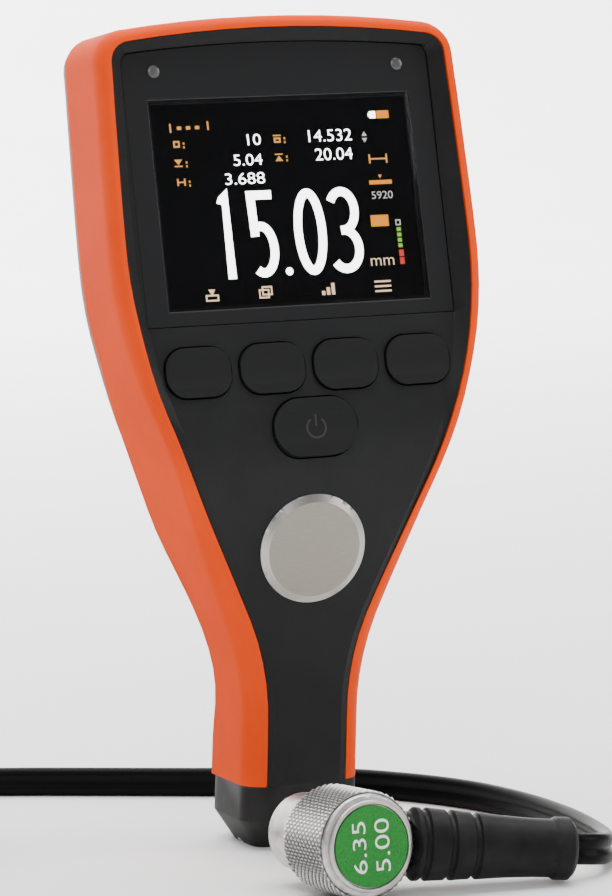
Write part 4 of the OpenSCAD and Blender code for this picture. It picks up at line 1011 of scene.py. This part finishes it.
# %% Indicator lenses
LENS_X, LENS_UP, LENS_R, LENS_OUT, LENS_HIGH = 22.8, 139.7, 1.12, -0.6, 0.3
COLLAR_GAP, COLLAR_WIRE = 0.08, 0.1
domes, collars = [], []
for side in (-1, 1):
    place = HEAD @ Matrix.Translation((side * LENS_X, LENS_UP, LENS_OUT))
    bpy.ops.object.select_all(action="DESELECT")
    bpy.ops.mesh.primitive_uv_sphere_add(segments=32, ring_count=16, radius=1)
    domes.append(bpy.context.object)
    domes[-1].data.transform(place @ Matrix.Diagonal((LENS_R, LENS_R, LENS_HIGH, 1)))
    bpy.ops.object.select_all(action="DESELECT")
    bpy.ops.mesh.primitive_torus_add(major_radius=LENS_R + COLLAR_GAP, minor_radius=COLLAR_WIRE,
                                     major_segments=48, minor_segments=10)
    collars.append(bpy.context.object)
    collars[-1].data.transform(place)
for name, pieces, finish, slot in (("lens_domes", domes, lens_grey, "lens"),
                                   ("lens_collars", collars, panel_black, "panel")):
    joined = join(pieces, name)
    edit(joined)
    bpy.ops.mesh.select_all(action="SELECT")
    bpy.ops.mesh.normals_make_consistent(inside=False)
    bpy.ops.mesh.faces_shade_smooth()
    done()
    paint(joined, finish)
    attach(joined, "gauge")
    print(name, len(joined.data.polygons), "faces")

# %% [markdown]
# A plain mark is moulded on the power key: an open ring with a short bar. It is
# laid on the key's dished top by rays, shot along the face's normal, and drawn a
# little paler than the key, as painted sheen for the light that its relief catches.


# %% Mark on the power key
power_key = bpy.data.objects["fine_power_key"]
box_ends = [HEAD.inverted() @ Vector(c) for c in power_key.bound_box]
key_x = sum(c.x for c in box_ends) / 8
key_up = sum(c.y for c in box_ends) / 8
MARK_R, MARK_LINE, MARK_LIFT, ABOVE_KEY = 1.75, 0.34, 0.03, 3
into = (HEAD.to_3x3() @ Vector((0, 0, -1))).normalized()
ring = arc(key_x, key_up, MARK_R, MARK_R, 125, 415, 28)
bar = [(key_x, key_up + MARK_R * f) for f in (0.15, 0.45, 0.75, 1.05, 1.3)]
strokes = [ribbon(line, MARK_LINE, ABOVE_KEY, "stroke") for line in (ring, bar)]
mark = join(strokes, "power_mark")
for vertex in mark.data.vertices:
    hit, spot = power_key.ray_cast(vertex.co, into)[:2]
    if hit:
        vertex.co = spot - into * MARK_LIFT * MM
# Paler than the key's rubber: painted sheen for the light on the mark's moulded relief
key_mark_sheen = new_finish("key_mark_sheen", (0.02, 0.02, 0.021), rough=0.4)
vary(key_mark_sheen, grain(key_mark_sheen, 4000, 2), 0.35, 0.5)
paint(mark, key_mark_sheen)
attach(mark, body_of("power_key"))
print("power mark", len(mark.data.polygons), "faces")

# %% [markdown]
# The floor is a pale sheet that curves up far behind the gauge, so that there is
# no horizon. One edge of a plane is extruded upwards, and the fold is bevelled.


# %% Floor
FLOOR, RISE, SWEEP, SWEEP_STEPS = 6.0, 3.0, 1.6, 20


def pick_edges(piece, wanted):
    """Select the edges whose two ends both lie where they are wanted."""
    edit(piece)
    bpy.ops.mesh.select_mode(type="EDGE")
    bpy.ops.mesh.select_all(action="DESELECT")
    done()
    points = piece.data.vertices
    for edge in piece.data.edges:
        edge.select = all(wanted(points[v].co) for v in edge.vertices)


bpy.ops.object.select_all(action="DESELECT")
bpy.ops.mesh.primitive_plane_add(size=FLOOR, location=(0, 0, 0))
floor = bpy.context.object
floor.name = "floor"
pick_edges(floor, lambda place: place.y > 0)
edit(floor)
bpy.ops.mesh.extrude_region_move(TRANSFORM_OT_translate={"value": (0, 0, RISE)})
done()
pick_edges(floor, lambda place: place.y > 0 and place.z < RISE / 2)
edit(floor)
bpy.ops.mesh.bevel(offset=SWEEP, segments=SWEEP_STEPS, affect="EDGES")
bpy.ops.mesh.select_all(action="SELECT")
bpy.ops.mesh.faces_shade_smooth()
done()
paper = new_finish("pale_paper", (0.88, 0.88, 0.87), rough=0.8)
tint(paper, grain(paper, 12, 2), (0.87, 0.87, 0.86), (0.89, 0.89, 0.88))
paint(floor, paper)
print("floor", len(floor.data.polygons), "faces")


# %% [markdown]
# A product photo is lit by large soft boxes. The key light stands in front, a
# little to the left, so that the front and the orange flank are evenly lit. A fill
# opens the right side, a wide box overhead whitens the floor round the gauge, and
# the strongest one, behind it, lights only the far sheet.


# %% Light
def soft_box(name, place, aim, size, power):
    """A rectangle of light at a place, turned towards what it should light."""
    data = bpy.data.lights.new(name, "AREA")
    data.shape = "RECTANGLE"
    data.size, data.size_y = size
    data.energy = power
    lamp = bpy.data.objects.new(name, data)
    bpy.context.scene.collection.objects.link(lamp)
    way = (Vector(aim) - Vector(place)).normalized()
    lamp.location = place
    lamp.rotation_euler = way.to_track_quat("-Z", "Y").to_euler()
    print("soft box", name, power, "W")


soft_box("key", (-0.45, -1.0, 0.8), (0, 0, 0.07), (0.6, 0.6), 5.5)
soft_box("fill", (0.95, -0.5, 0.5), (0, 0, 0.07), (0.6, 0.6), 5)
soft_box("overhead", (0.05, 0.15, 1.1), (0, 0, 0.05), (1.2, 1.2), 28)
soft_box("backdrop", (0, 1.3, 1.6), (0, 2.8, 0.3), (3.0, 1.2), 260)
world = bpy.data.worlds.new("studio")
bpy.context.scene.world = world
world.use_nodes = True
sky = world.node_tree.nodes["Background"]
sky.inputs["Color"].default_value = (0.95, 0.96, 1.0, 1)
sky.inputs["Strength"].default_value = 0.3
